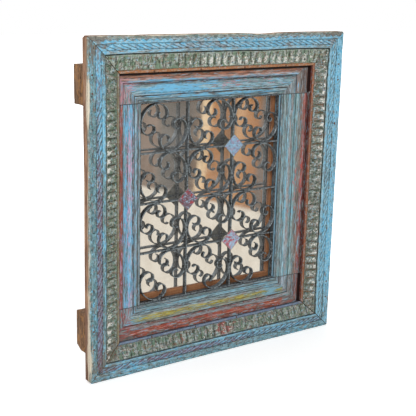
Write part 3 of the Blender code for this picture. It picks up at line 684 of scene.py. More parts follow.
jamb(
    "timber_jamb_left", -1, left_paint, 51,
    (0.24, [(-0.05, 0.036, 0.12, 0.010, 0.35), (-0.22, 0.036, 0.08, 0.014, 0.35),
            (0.26, 0.036, 0.06, 0.012, 0.5), (0.0, 0.052, 0.4, 0.005, 0.25),
            (0.12, 0.068, 0.18, 0.008, -0.30)]),
    (0.16, [(0.14, 0.036, 0.12, 0.012, 0.40), (-0.08, 0.040, 0.10, 0.008, 0.25),
            (-0.27, 0.034, 0.04, 0.012, 0.35), (-0.16, 0.066, 0.14, 0.008, 0.32),
            (0.12, 0.068, 0.18, 0.008, -0.20)]), "frame_jamb_left")
jamb(
    "timber_jamb_right", 1, right_paint, 71,
    (0.26, [(-0.05, 0.030, 0.2, 0.008, 0.28), (0.0, 0.054, 0.4, 0.006, 0.15),
            (-0.16, 0.095, 0.14, 0.006, 0.15), (0.0, 0.114, 9.0, 0.012, -1.0)]),
    (0.06, [(0.04, 0.092, 0.10, 0.006, 0.60), (0.02, 0.068, 0.10, 0.008, 0.40),
            (-0.22, 0.092, 0.12, 0.010, -0.06),
            (-0.10, 0.045, 0.12, 0.010, 0.15), (0.0, 0.114, 9.0, 0.012, -1.0)]),
    "frame_jamb_right")


# Pegs of split bamboo or hardwood lock the four tenons. Each was driven from the back and cut off
# flush, so only its end shows.

def finish_node(name, material):
    """Give a CAD node that stays its material."""
    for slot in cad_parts[name].material_slots:
        slot.material = material


peg_wood, tree = new_material("peg_end_grain")
place = place_in(tree)
wood = use(old_wood, Vector=place, Pale=(128, 96, 68), Dark=(60, 42, 30))["Color"]
rings = cloud(place, (0.0012, 0.0012, 0.0012), 4.0)
finish(tree, laid(ranged(rings, 0.4, 0.65), wood, (70, 50, 36)), (rings, 0.0006), Roughness=0.85)
for number in range(1, 5):
    finish_node("tenon_peg_%d" % number, peg_wood)


# Iron grille. Hand-forged flat bars stand on edge, halved over each other where they cross, with
# a flat bar along each side of the opening. Old dark iron, rubbed grey along its front edges. Its
# colour also holds painted highlights: lighter patches on the sides and brighter front edges.

BAR_FRONT = -0.0430
BAR_BACK = -0.0270
GRILLE_PLANE = -0.0350
BAR_HALF = 0.002
PLAY = 0.0003
GRILLE_W = 0.2557                                   # to the middle of the edge bars
GRILLE_H = 0.3032
COLUMNS = np.array([-GRILLE_W, -0.0887004, 0.0789996, GRILLE_W])
LEVELS = np.array([GRILLE_H, 0.1550107, 0.0037882, -0.1478009, -GRILLE_H])

iron, tree = new_material("forged_iron")
place = place_in(tree)
lumps = cloud(place, (0.006, 0.006, 0.006), 4.0, 0.6)
specks = cloud(place, (0.0016, 0.0016, 0.0016), 4.0, 0.65)
zones = cloud(place, (0.05, 0.05, 0.05))
rust = ranged(specks * 0.6 + zones * 0.5, 0.60, 0.68)
rubbed_and_highlit = attribute(tree, "rub") * ranged(lumps, 0.35, 0.6)
painted = attribute(tree, "blue") * ranged(specks, 0.34, 0.50)
# painted highlights: the lighter lumps and the bright front edges stand in for light on the iron; the
# front edges are rubbed iron as well
colour = coated(
    (18, 19, 20), (ranged(lumps, 0.43, 0.58), (86, 90, 92)),
    (ranged(zones, 0.44, 0.60, 0.0, 0.45), (94, 106, 114)), (rust * 0.55, (84, 60, 46)),
    (rubbed_and_highlit * 0.85, (152, 166, 174)), (painted, (128, 172, 194)))
finish(tree, colour, (lumps * 0.7 + specks * 0.3, 0.0009),
       Metallic=ranged(rubbed_and_highlit, 0.0, 1.0, 0.25, 0.6) * (1.0 - painted),
       Roughness=ranged(specks, 0.3, 0.7, 0.34, 0.56))


def strip_section(half_thick):
    """Closed section of a flat bar: how far its points are off the middle, their share of the way
    from front to back, and how far the rounding of its edges draws them in."""
    round_off = 0.0008
    turn = np.linspace(0, math.pi / 2, 4)
    across = half_thick - round_off + round_off * np.cos(turn)
    ends = round_off * (1 - np.sin(turn))
    side = np.concatenate([across[::-1], [half_thick] * 4, across])
    aside = np.concatenate([side, -side])
    share = np.concatenate([np.full(4, -1.0), [0.2, 0.4, 0.6, 0.8], np.full(8, 2.0),
                            [0.8, 0.6, 0.4, 0.2], np.full(4, -1.0)])
    inset = np.concatenate([ends[::-1], [0] * 4, ends, ends[::-1], [0] * 4, ends])
    return aside, share, inset


def strip_loops(line, aside, front, back, half_thick, seed, wobble=0.0003):
    """A flat bar along a line in the plane of the grille. line and aside are (n, 2) points and
    directions across the bar; front and back are the y of its two edges at each point."""
    off, share, inset = strip_section(half_thick)
    rows = line.shape[0]
    step = np.linalg.norm(np.diff(line, axis=0, prepend=line[:1]), axis=1).cumsum()[:, None]
    front = np.broadcast_to(front, (rows,))[:, None]
    back = np.broadcast_to(back, (rows,))[:, None]
    y = np.where(share > 1, back - inset, front + (back - front) * share)
    y = np.where(share < 0, front + inset, y)
    dent = wobble * waves(step, y, 0.016, seed) * (np.abs(off) >= half_thick * 0.99)
    thick = off - np.sign(off) * np.abs(dent)
    x = line[:, :1] + aside[:, :1] * thick
    z = line[:, 1:] + aside[:, 1:] * thick
    # rub: 1 on the front edge, where the iron is rubbed and a painted highlight lies, less down the
    # sides and on the back
    rub = np.where(share < 0, 1.0, np.where(share > 1, 0.15, 0.25 * (1 - share))) + 0 * y
    return {"loops": np.stack([x, y, z + MIDDLE_Z], -1), "rub": rub}


def straight_bar(label, reach, level, upright, crossings, cut_front, seed):
    """A bar that reaches as far to both sides. At each crossing half of its depth is cut away, from
    its front or its back."""
    notch = BAR_HALF + PLAY
    along = np.linspace(0.0004 - reach, reach - 0.0004, int(2 * reach / 0.006))
    edges = [c + s * (notch + t) for c in crossings for s in (-1, 1) for t in (0.0, 0.00005)]
    along = np.unique(np.concatenate([[-reach], along, edges, [reach]]))
    cut = np.zeros(along.size, bool)
    for crossing in crossings:
        cut |= np.abs(along - crossing) <= notch + 1e-7
    bend = 0.0005 * waves(along, 0 * along, 0.09, seed + 1) * ~cut
    near = np.min([np.abs(along - c) for c in [-reach, reach, *crossings]], axis=0)
    bend = bend * eased(near, 0.004, 0.03)
    line = np.stack([along, level + bend], 1)
    aside = np.broadcast_to(np.array([0.0, 1.0]), line.shape)
    if upright:
        line, aside = line[:, ::-1], aside[:, ::-1]
    front = BAR_FRONT + bumps(0.0002, along, 0 * along, 0.03, seed + 2)
    back = np.full(along.size, BAR_BACK)
    if cut_front:
        front = np.where(cut, GRILLE_PLANE + PLAY / 2, front)
    else:
        back = np.where(cut, GRILLE_PLANE - PLAY / 2, back)
    part = strip_loops(line, aside, front, back, BAR_HALF, seed)
    part["blue"] = eased(part["rub"], 0.7, 1.0) if label == "edge_right" else 0 * part["rub"]
    add_piece("iron_" + label, [part], [iron], ["grille_" + label])


BETWEEN_EDGES = 0.0023          # a bar stops this far from the middle of the edge bar that it meets
UPRIGHT_REACH = GRILLE_H - BETWEEN_EDGES
RAIL_REACH = GRILLE_W - BETWEEN_EDGES
for label, reach, level, upright, crossings, cut_front, seed in (
        ("upright_1", UPRIGHT_REACH, COLUMNS[1], True, LEVELS[1:4], False, 201),
        ("upright_2", UPRIGHT_REACH, COLUMNS[2], True, LEVELS[1:4], False, 202),
        ("rail_1", RAIL_REACH, LEVELS[1], False, COLUMNS[1:3], True, 211),
        ("rail_2", RAIL_REACH, LEVELS[2], False, COLUMNS[1:3], True, 212),
        ("rail_3", RAIL_REACH, LEVELS[3], False, COLUMNS[1:3], True, 213),
        ("edge_top", GRILLE_W + BAR_HALF, GRILLE_H, False, (), False, 220),
        ("edge_bottom", GRILLE_W + BAR_HALF, -GRILLE_H, False, (), False, 221),
        ("edge_left", UPRIGHT_REACH, -GRILLE_W, True, (), False, 230),
        ("edge_right", UPRIGHT_REACH, GRILLE_W, True, (), False, 231)):
    straight_bar(label, reach, level, upright, crossings, cut_front, seed)


# Scrolls. Each is one strip of flat iron, bent cold into a C round a pin, so both ends roll up.
# Two stand in opposite corners of every pane, riveted to the bars where they touch.

SCROLL_HALF = 0.0015
SCROLL_FRONT = -0.0440
SCROLL_BACK = -0.0260
SCROLL_LENGTH = 0.1526          # half of the strip that one scroll takes
SCROLL_BELLY = 0.061            # radius of the bend in mid-scroll, and at its tips
SCROLL_TIP = 0.009
SCROLL_POWER = 2.29             # how late along the strip the bend tightens


def scroll_line(length, belly, tip, power):
    """Middle line of a C scroll from a corner of its pane, and the directions across it. The bend
    rises from 1 / belly to 1 / tip with a power of the way along, alike on both halves."""
    along = np.linspace(0, length, 901)
    share = along / length
    turn = along / belly + (1 / tip - 1 / belly) * along * share ** power / (power + 1)
    heading = turn - math.pi / 4
    middle = (heading[1:] + heading[:-1]) / 2
    u = np.concatenate(([0], np.cumsum(np.cos(middle)) * along[1]))
    v = np.concatenate(([0], np.cumsum(np.sin(middle)) * along[1]))
    lift = BAR_HALF + PLAY + SCROLL_HALF - v.min()
    picked = np.interp(np.linspace(0, 2, 45), share + turn / turn[-1], along)
    points = np.stack([np.interp(picked, along, line) for line in (u + lift, v + lift)], 1)
    angle = np.interp(picked, along, heading)
    aside = np.stack([-np.sin(angle), np.cos(angle)], 1)
    touch = np.array([u[v.argmin()] + lift, v.min() + lift + SCROLL_HALF])
    return (np.concatenate((points[:0:-1, ::-1], points)),
            np.concatenate((aside[:0:-1, ::-1], aside)), touch)


def dome(centre, axis, radius, height, rings=4, sides=10):
    """A low round head: rings that shrink as they rise along the axis from the centre."""
    turn = np.linspace(0, math.pi / 2, rings)
    around = np.linspace(0, math.tau, sides, endpoint=False)
    axis = np.array(axis, float)
    other = np.array([0.0, 1.0, 0.0]) if abs(axis[1]) < 0.9 else np.array([1.0, 0.0, 0.0])
    first = np.cross(axis, other)
    second = np.cross(axis, first)
    ring = np.cos(around)[:, None] * first + np.sin(around)[:, None] * second
    size = np.cos(turn) * 0.92 + 0.08
    size = np.concatenate([[0.55, 1.0], size])
    rise = np.concatenate([[-0.35, -0.3], np.sin(turn)])
    loops = np.array(centre) + size[:, None, None] * radius * ring + rise[:, None, None] * height * axis
    return {"loops": loops, "rub": np.broadcast_to(0.3 + 0.6 * (rise > 0.5)[:, None], loops.shape[:2])}


draw = np.random.default_rng(7)
rivets = []
number = 0
for row, z in enumerate(LEVELS):
    for column, x in enumerate(COLUMNS):
        for up in (1, -1):
            for across in (-1, 1):
                in_grille = 0 <= column + across < len(COLUMNS) and 0 <= row - up < len(LEVELS)
                if not in_grille or (row + column) % 2:
                    continue
                number += 1
                line, aside, touch = scroll_line(
                    SCROLL_LENGTH * draw.uniform(0.985, 1.01), SCROLL_BELLY * draw.uniform(0.98, 1.01),
                    SCROLL_TIP * draw.uniform(0.92, 1.15), SCROLL_POWER * draw.uniform(0.95, 1.05))
                line = np.array([x, z]) + line * (across, up)
                sweep = np.linspace(-1, 1, line.shape[0])
                taper = 0.0022 * eased(np.abs(sweep), 0.80, 1.0)
                slope = draw.uniform(-0.0005, 0.0005) * sweep
                part = strip_loops(
                    line, aside * (across, up), SCROLL_FRONT + 0.0001 + taper + np.abs(slope),
                    SCROLL_BACK - taper - np.abs(slope), SCROLL_HALF, 300 + number, 0.00022)
                add_piece("iron_scroll_%02d" % number, [part], [iron],
                          ["scroll_%02d" % number])
                for at, axis in ((touch, (0, 0, up)), (touch[::-1], (across, 0, 0))):
                    centre = (x + across * at[0], GRILLE_PLANE, z + up * at[1] + MIDDLE_Z)
                    rivets.append(dome(centre, axis, 0.0030, 0.0013))
add_piece("iron_rivets", rivets, [iron])


# Plates. Three squares of sheet iron stand on their points over crossings of the bars, hammered
# flat, painted with what was left of the blue and the red, and held by one rivet each.

PLATE_BACK = -0.0433
PLATE_FRONT = -0.0455
PLATE_THICK = 0.0017
PLATE_HALF_W = 0.037            # from the middle to a point
PLATE_HALF_H = 0.036


def plate_paint(name, base, second, share_second, red_share):
    """Worn paint on a plate: two coats, red flecks and dark scratches down to the iron."""
    made, tree = new_material(name)
    place = place_in(tree)
    turned = node("Mapping", {"Vector": place, "Rotation": (0.0, 0.5, 0.0)})
    mottle = cloud(place, (0.007, 0.007, 0.007), 5.0, 0.65)
    scratch = flaked(turned, 0.0018, 0.007, 0.30, 0.02)
    # painted light: the light olive-grey rim colour lies on the worn outer edge and over the whole
    # back, where it stands in for light on the shaded back that the mirror shows
    rim = ranged(attribute(tree, "rub") + mottle * 0.5, 0.85, 1.1)
    colour = coated(
        base, (ranged(mottle, 0.42, 0.58), second),
        (flaked(place, 0.005, 0.004, share_second, 0.04) * 0.8, (160, 206, 228)),
        (flaked(turned, 0.011, 0.006, red_share, 0.03) * 0.85, (188, 62, 66)),
        (scratch * 0.7, (84, 78, 84)), (rim, (120, 118, 106)))
    finish(tree, colour, (mottle - scratch * 0.6, 0.0006), Roughness=0.6)
    return made


plate_coats = (
    plate_paint("plate_paint_1", (136, 176, 206), (154, 140, 168), 0.44, 0.27),
    plate_paint("plate_paint_2", (124, 104, 120), (112, 70, 78), 0.34, 0.36),
    plate_paint("plate_paint_3", (164, 200, 222), (178, 140, 168), 0.50, 0.46))
for number, (column, row) in enumerate(((2, 1), (1, 2), (2, 3)), 1):
    turn = np.linspace(0, math.tau, 96, endpoint=False)
    span = 1 / (np.abs(np.cos(turn)) + np.abs(np.sin(turn)))
    ring = np.concatenate([[1.0, 0.985], np.linspace(0.95, 0.04, 16)])[:, None]
    ragged = 1 - bumps(0.010, turn * 3, 0 * turn, 2.2, 400 + number)
    across = np.cos(turn) * span * ring * PLATE_HALF_W * ragged
    up = np.sin(turn) * span * ring * PLATE_HALF_H * ragged
    dish = bumps(0.0004, across, up, 0.022, 410 + number) * eased(ring, 1.0, 0.9)
    lift = 0.0004 * eased(ring, 0.97, 1.0)
    front = PLATE_FRONT + 0.0001 + dish + lift
    back = front + PLATE_THICK
    x = np.concatenate([across[::-1], across])
    y = np.concatenate([front[::-1], np.minimum(back, PLATE_BACK)])
    z = np.concatenate([up[::-1], up])
    loops = np.stack([x + COLUMNS[column], y, z + LEVELS[row] + MIDDLE_Z], -1)
    edge = np.broadcast_to(eased(ring, 0.86, 1.0), across.shape)
    # the back is marked 1 all over, so it takes the light rim colour as painted light
    rub = np.concatenate([edge[::-1], 0 * edge + 1])
    middle = (COLUMNS[column], PLATE_FRONT + 0.0012, LEVELS[row] + MIDDLE_Z)
    rivet = dome(middle, (0, -1, 0), 0.0034, 0.0010)
    rivet["rub"] = 0.2 * rivet["rub"]
    add_piece("painted_plate_%d" % number, [{"loops": loops, "rub": rub}, rivet],
              [plate_coats[number - 1]], ["diamond_%d" % number])


# Strips of new wood, rough from the saw, hold the mirror off the grille. Each is nailed into the
# rebate with thin brads; the bottom one was ripped wider at its left end.

STRIP_FRONT = -0.0157
STRIP_THICK = 0.0064
STRIP_SIDE = OPENING_W + REBATE - PLAY
STRIP_END = OPENING_H + REBATE - PLAY
STRIP_INNER = OPENING_W - 0.010
STRIP_TOP = OPENING_H - 0.010

new_wood, tree = new_material("new_wood")
lie = attribute(tree, "lie", "Vector")
grain = cloud(lie, (0.08, 0.0030, 0.0030), 4.0, 0.6, 0.8)
fibre = cloud(lie, (0.012, 0.0007, 0.0007))
saw = cloud(lie, (0.0022, 0.05, 0.05), 2.0)
colour = coated(
    (138, 88, 56), (ranged(grain, 0.35, 0.65), (182, 126, 84)),
    (ranged(fibre, 0.45, 0.75, 0.0, 0.5), (108, 66, 42)),
    (ranged(saw, 0.52, 0.7, 0.0, 0.25), (198, 152, 112)))
finish(tree, colour, (fibre + saw, 0.0005), Roughness=0.72)


def strip_foot(x):
    """Height of the bottom strip's upper edge, which falls from left to right."""
    return 0.022 - 0.008 * (x + STRIP_SIDE) / (2 * STRIP_SIDE) - OPENING_H


def wood_strip(name, corners, seed, node_name):
    """A flat strip between four (x, z) corners: start near, start far, end far, end near."""
    corners = np.array(corners)
    length = np.linalg.norm(corners[3] - corners[0])
    s = np.linspace(0, 1, int(length / 0.004))[:, None]
    t = np.array([0.0, 0.03, 0.15, 0.3, 0.45, 0.6, 0.75, 0.9, 0.97, 1.0, 1.0, 1.0, 1.0, 0.97, 0.6, 0.3,
                  0.03, 0.0, 0.0, 0.0])
    deep = np.array([0.10, 0.02, 0, 0, 0, 0, 0, 0, 0.02, 0.10, 0.4, 0.7, 0.9, 0.98, 1, 1, 0.98, 0.9,
                     0.7, 0.4])
    saw_marks = bumps(0.00018, s * length, t * 0.001, 0.012, seed)
    near = corners[0] * (1 - s[..., None]) + corners[3] * s[..., None]
    far = corners[1] * (1 - s[..., None]) + corners[2] * s[..., None]
    wide = np.linalg.norm(corners[1] - corners[0])
    t_worn = 0.5 + (t - 0.5) * (1 - 0.0006 / wide * (1 + waves(s * length, 0 * t, 0.03, seed + 1)))
    flat = near * (1 - t_worn[..., None]) + far * t_worn[..., None]
    y = STRIP_FRONT + STRIP_THICK * deep + saw_marks * (deep < 0.3)
    loops = np.stack([flat[..., 0], y, flat[..., 1] + MIDDLE_Z], -1)
    lie = np.stack([s * length + 0 * t + seed, t * wide + 0 * s, y], -1)
    add_piece(name, [{"loops": loops, "lie": lie}], [new_wood], [node_name])


wood_strip("strip_top", [(-STRIP_SIDE, STRIP_TOP), (-STRIP_SIDE, STRIP_END), (STRIP_SIDE, STRIP_END),
                         (STRIP_SIDE, STRIP_TOP)], 1, "spacer_top")
wood_strip("strip_bottom", [(-STRIP_SIDE, -STRIP_END), (-STRIP_SIDE, strip_foot(-STRIP_SIDE)),
                            (STRIP_SIDE, strip_foot(STRIP_SIDE)), (STRIP_SIDE, -STRIP_END)],
           2, "spacer_bottom")
for number, (label, near, far) in enumerate((("left", -STRIP_SIDE, -STRIP_INNER),
                                             ("right", STRIP_INNER, STRIP_SIDE))):
    wood_strip("strip_" + label, [
        (near, strip_foot(near) + PLAY), (far, strip_foot(far) + PLAY), (far, STRIP_TOP - PLAY),
        (near, STRIP_TOP - PLAY)], 3 + number, "spacer_" + label)


# Mirror: a sheet of silvered glass, three millimetres thick, cut to the rebate. It is new and
# clean, with a little dust and a few faint smears.

mirror, tree = new_material("silvered_glass")
place = place_in(tree)
dust = cloud(place, (0.05, 0.05, 0.05), 6.0, 0.7)
smear = cloud(place, (0.20, 0.05, 0.02))
finish(tree, laid(ranged(dust, 0.50, 0.80, 0.0, 0.20), (240, 240, 238), (206, 202, 194)),
       Metallic=ranged(smear, 0.35, 0.75, 0.92, 0.86), Roughness=ranged(smear, 0.40, 0.80, 0.014, 0.05))
finish_node("mirror_pane", mirror)


# Backing board: a sheet of tempered hardboard behind the mirror, its screen-marked side out, held
# in the rebate by flat steel points pushed into the wood.

hardboard, tree = new_material("hardboard")
place = place_in(tree)
fibres = cloud(place, (0.004, 0.004, 0.004), 6.0, 0.7)
stains = cloud(place, (0.12, 0.12, 0.12), 4.0)
weave = node("TexVoronoi", {"Vector": place, "Scale": 520.0}, "Distance")
colour = coated((112, 80, 52), (ranged(fibres, 0.35, 0.65), (146, 110, 76)),
                (ranged(stains, 0.45, 0.70, 0.0, 0.45), (92, 66, 46)))
finish(tree, colour, (weave, 0.0003), Roughness=0.82)
finish_node("backing_board", hardboard)

steel, tree = new_material("zinc_steel")
place = place_in(tree)
spangle = cloud(place, (0.004, 0.004, 0.004), 4.0)
scuffs = cloud(place, (0.02, 0.0008, 0.0008))
colour = coated((136, 138, 140), (ranged(spangle, 0.35, 0.65), (174, 176, 178)),
                (ranged(scuffs, 0.58, 0.72, 0.0, 0.6), (96, 86, 76)))
finish(tree, colour, (scuffs, 0.0002), Metallic=0.9, Roughness=ranged(spangle, 0.3, 0.7, 0.34, 0.52))

points = []
for side, spots in ((0, (-0.19, 0.0, 0.19)), (1, (-0.2, 0.0, 0.2))):
    for spot in spots:
        for end in (-1, 1):
            reach = (OPENING_W if side else OPENING_H) + REBATE
            # a lozenge: widest where it enters the wood, pointed where it lies on the board
            outline = np.array([(-0.0115, 0.0), (-0.004, 0.0042), (0.0022, 0.0030), (0.0022, -0.0030),
                                (-0.004, -0.0042)])
            flat = np.stack([spot + outline[:, 1], end * (reach + outline[:, 0])], 1)
            if side:
                flat = flat[:, ::-1]
            loops = np.stack([np.stack([flat[:, 0], np.full(5, y), flat[:, 1] + MIDDLE_Z], 1)
                              for y in (-0.0026, -0.0020)])
            points.append({"loops": loops})
add_piece("glazing_points", points, [steel])


# Hanging plates: two pressed steel keyhole plates, let in flush at the back of the head, with two
# countersunk screws each.

for name in ("hanger_left", "hanger_right", *("hanger_screw_%d" % k for k in range(1, 5))):
    finish_node(name, steel)


# Carved surround: four boards of old hardwood, mitred at the corners and nailed over the front.
# Each has a plain margin, a twisted rope, a deep line and a row of petals that slopes inwards.

BOARD_T = 0.030
BOARD_FACE = -0.0840
HALF_W = 0.4600
HALF_H = 0.5010
SHIFT_X = 0.0155
SHIFT_Z = -0.002
BOARD_WIDTHS = {"top": 0.106, "bottom": 0.100, "left": 0.108, "right": 0.108}
DRAWN_WIDTH = 0.106             # the carving is drawn for a board this wide
DRAWN_GROOVE = 0.0535           # and its deep line lies this far in
SECTION_STEP = 0.0016
FAN_LENGTH = 0.19               # over this length the sections fan out to a mitre

# (distance in from the outer edge, depth) in mm, as drawn
LINE = np.array([
    (0.0, 0.3), (21.4, 0.4), (22.2, 1.0), (23.2, 2.3), (24.4, 2.4), (25.6, 1.6), (28.5, 0.7),
    (33.5, 0.15), (38.0, 0.7), (40.4, 1.7), (41.4, 2.6), (42.4, 1.7), (43.4, 1.3), (50.6, 1.4),
    (51.6, 3.6), (52.8, 6.2), (54.0, 6.4), (55.6, 4.9), (58.0, 4.6), (64.0, 6.6), (75.0, 10.6),
    (88.0, 15.0), (97.0, 17.4), (98.4, 18.4), (99.6, 18.0), (101.0, 17.9), (106.0, 18.1)])
CARVED = np.unique(np.concatenate([
    np.array([0.0, 0.15, 0.5, 1.0, 1.8, 2.8, 4.2]), np.arange(5.5, 21.3, 1.4),
    np.arange(21.4, 26.5, 0.8), np.arange(27.3, 40.2, 1.1), np.arange(40.4, 44.0, 0.8),
    np.arange(45.5, 50.0, 1.6), np.arange(50.4, 56.0, 0.8), np.arange(56.8, 96.9, 1.15),
    np.arange(97.0, 100.5, 0.8), np.array([102.0, 104.0, 105.2, 105.8, 106.0])])) * 0.001
ROPE_PITCH = 0.0235
ROPE_MIDDLE = 0.0335            # distance in to the middle of the rope, as drawn
ROPE_HALF = 0.0085
PETAL_PITCH = 0.0255
PETALS_START = 0.0555           # distance in to where the petals start
PETALS_REACH = 0.0420


def carving(inset, along, seed, lay, scallops, filled, flat_from, lean):
    """Three values at the distance in from a board's outer edge and the distance along: the depth
    below its highest plane, how far a point lies in a cut of the rope, 0 to 1, and its place on a
    petal, from -1 in the gap to 1 on the crest. The line comes first. The rope is cut by long S
    strokes that slope by lay. Each petal is a rounded tongue, (1 - sqrt(1 - s^2)) deep across its
    half width, with a rounded head, a vein down the middle and soft ground beside it."""
    deep = np.interp(inset, LINE[:, 0] * 0.001, LINE[:, 1] * 0.001)
    uneven = 0.7 + 0.3 * waves(along, 0 * inset, 0.16, seed + 11)
    deep = deep - 0.0042 * filled * uneven * bell(inset - 0.0532, 0.0018)
    hand = along + 0.0018 * waves(along, inset * 0.3, 0.07, seed)
    faint = 0.55 + 0.45 * waves(along, inset * 0.5, 0.11, seed + 9)
    # rope
    v = np.clip((inset - ROPE_MIDDLE) / ROPE_HALF, -1, 1)
    body = np.sqrt(1 - v * v) * (1 - 0.8 * eased(along, flat_from, flat_from + 0.10))
    turn = hand / ROPE_PITCH + lay * (0.62 * v + 0.16 * np.sin(math.pi * v))
    stroke = np.abs(turn % 1 - 0.5) * ROPE_PITCH
    cuts = np.clip(body * 1.6, 0, 1) * bell(stroke, 0.0048)
    deep = deep + body * (0.0011 + 0.0008 * faint) * bell(stroke, 0.0036)
    deep = deep + body * 0.0006 * (1 + np.cos(math.tau * turn)) * 0.5
    # petals
    t = (inset - PETALS_START) / PETALS_REACH
    cell = hand / PETAL_PITCH + 0.5 - lean * t
    s = cell % 1 - 0.5
    size = 1 + 0.25 * np.sin(np.floor(cell) * 2.4 + seed)
    head = np.sqrt(np.clip(1 - np.clip((0.24 - t) / 0.30, 0, 1) ** 2, 0, 1))
    half = 0.46 * head + 0.0001
    side = np.clip(np.abs(s) / half, 0, 1)
    tongue = 1 - np.sqrt(1 - 0.84 * side ** 2)
    zone = eased(t, 0.0, 0.14) * eased(t, 1.0, 0.80)
    ground = eased(np.abs(s) - half, -0.05, 0.05)
    vein = bell(s * PETAL_PITCH, 0.0013) * eased(t, 0.06, 0.30)
    deep = deep + zone * size * (0.0017 * tongue + 0.0002 * ground + 0.0009 * vein * faint)
    # a shallow scalloped line along the margin of the top board
    deep = deep + scallops * 0.0008 * bell(inset - scallop(hand), 0.0009)
    # age: soft wear, weathered grain, dents and lost chips
    deep = deep + bumps(0.00022, along, inset, 0.05, seed + 1)
    deep = deep + bumps(0.00022, along * 0.05, inset, 0.0030, seed + 2)
    deep = deep + bumps(0.00026, along, inset, 0.0062, seed + 3)
    chips = eased(waves(along, inset, 0.016, seed + 4), 0.88, 1.0)
    clear = np.clip(0.85 + 0.5 * waves(along, 0 * inset, 0.30, seed + 10), 0.55, 1)
    return deep + 0.0007 * chips + 0.0002, cuts, zone * clear * np.cos(math.tau * s)


def scallop(along):
    """Distance in of the scalloped line: rounded arches whose tops point at the outer edge."""
    return 0.0098 + 0.0066 * np.abs((along / 0.0230) % 1 * 2 - 1) ** 1.3


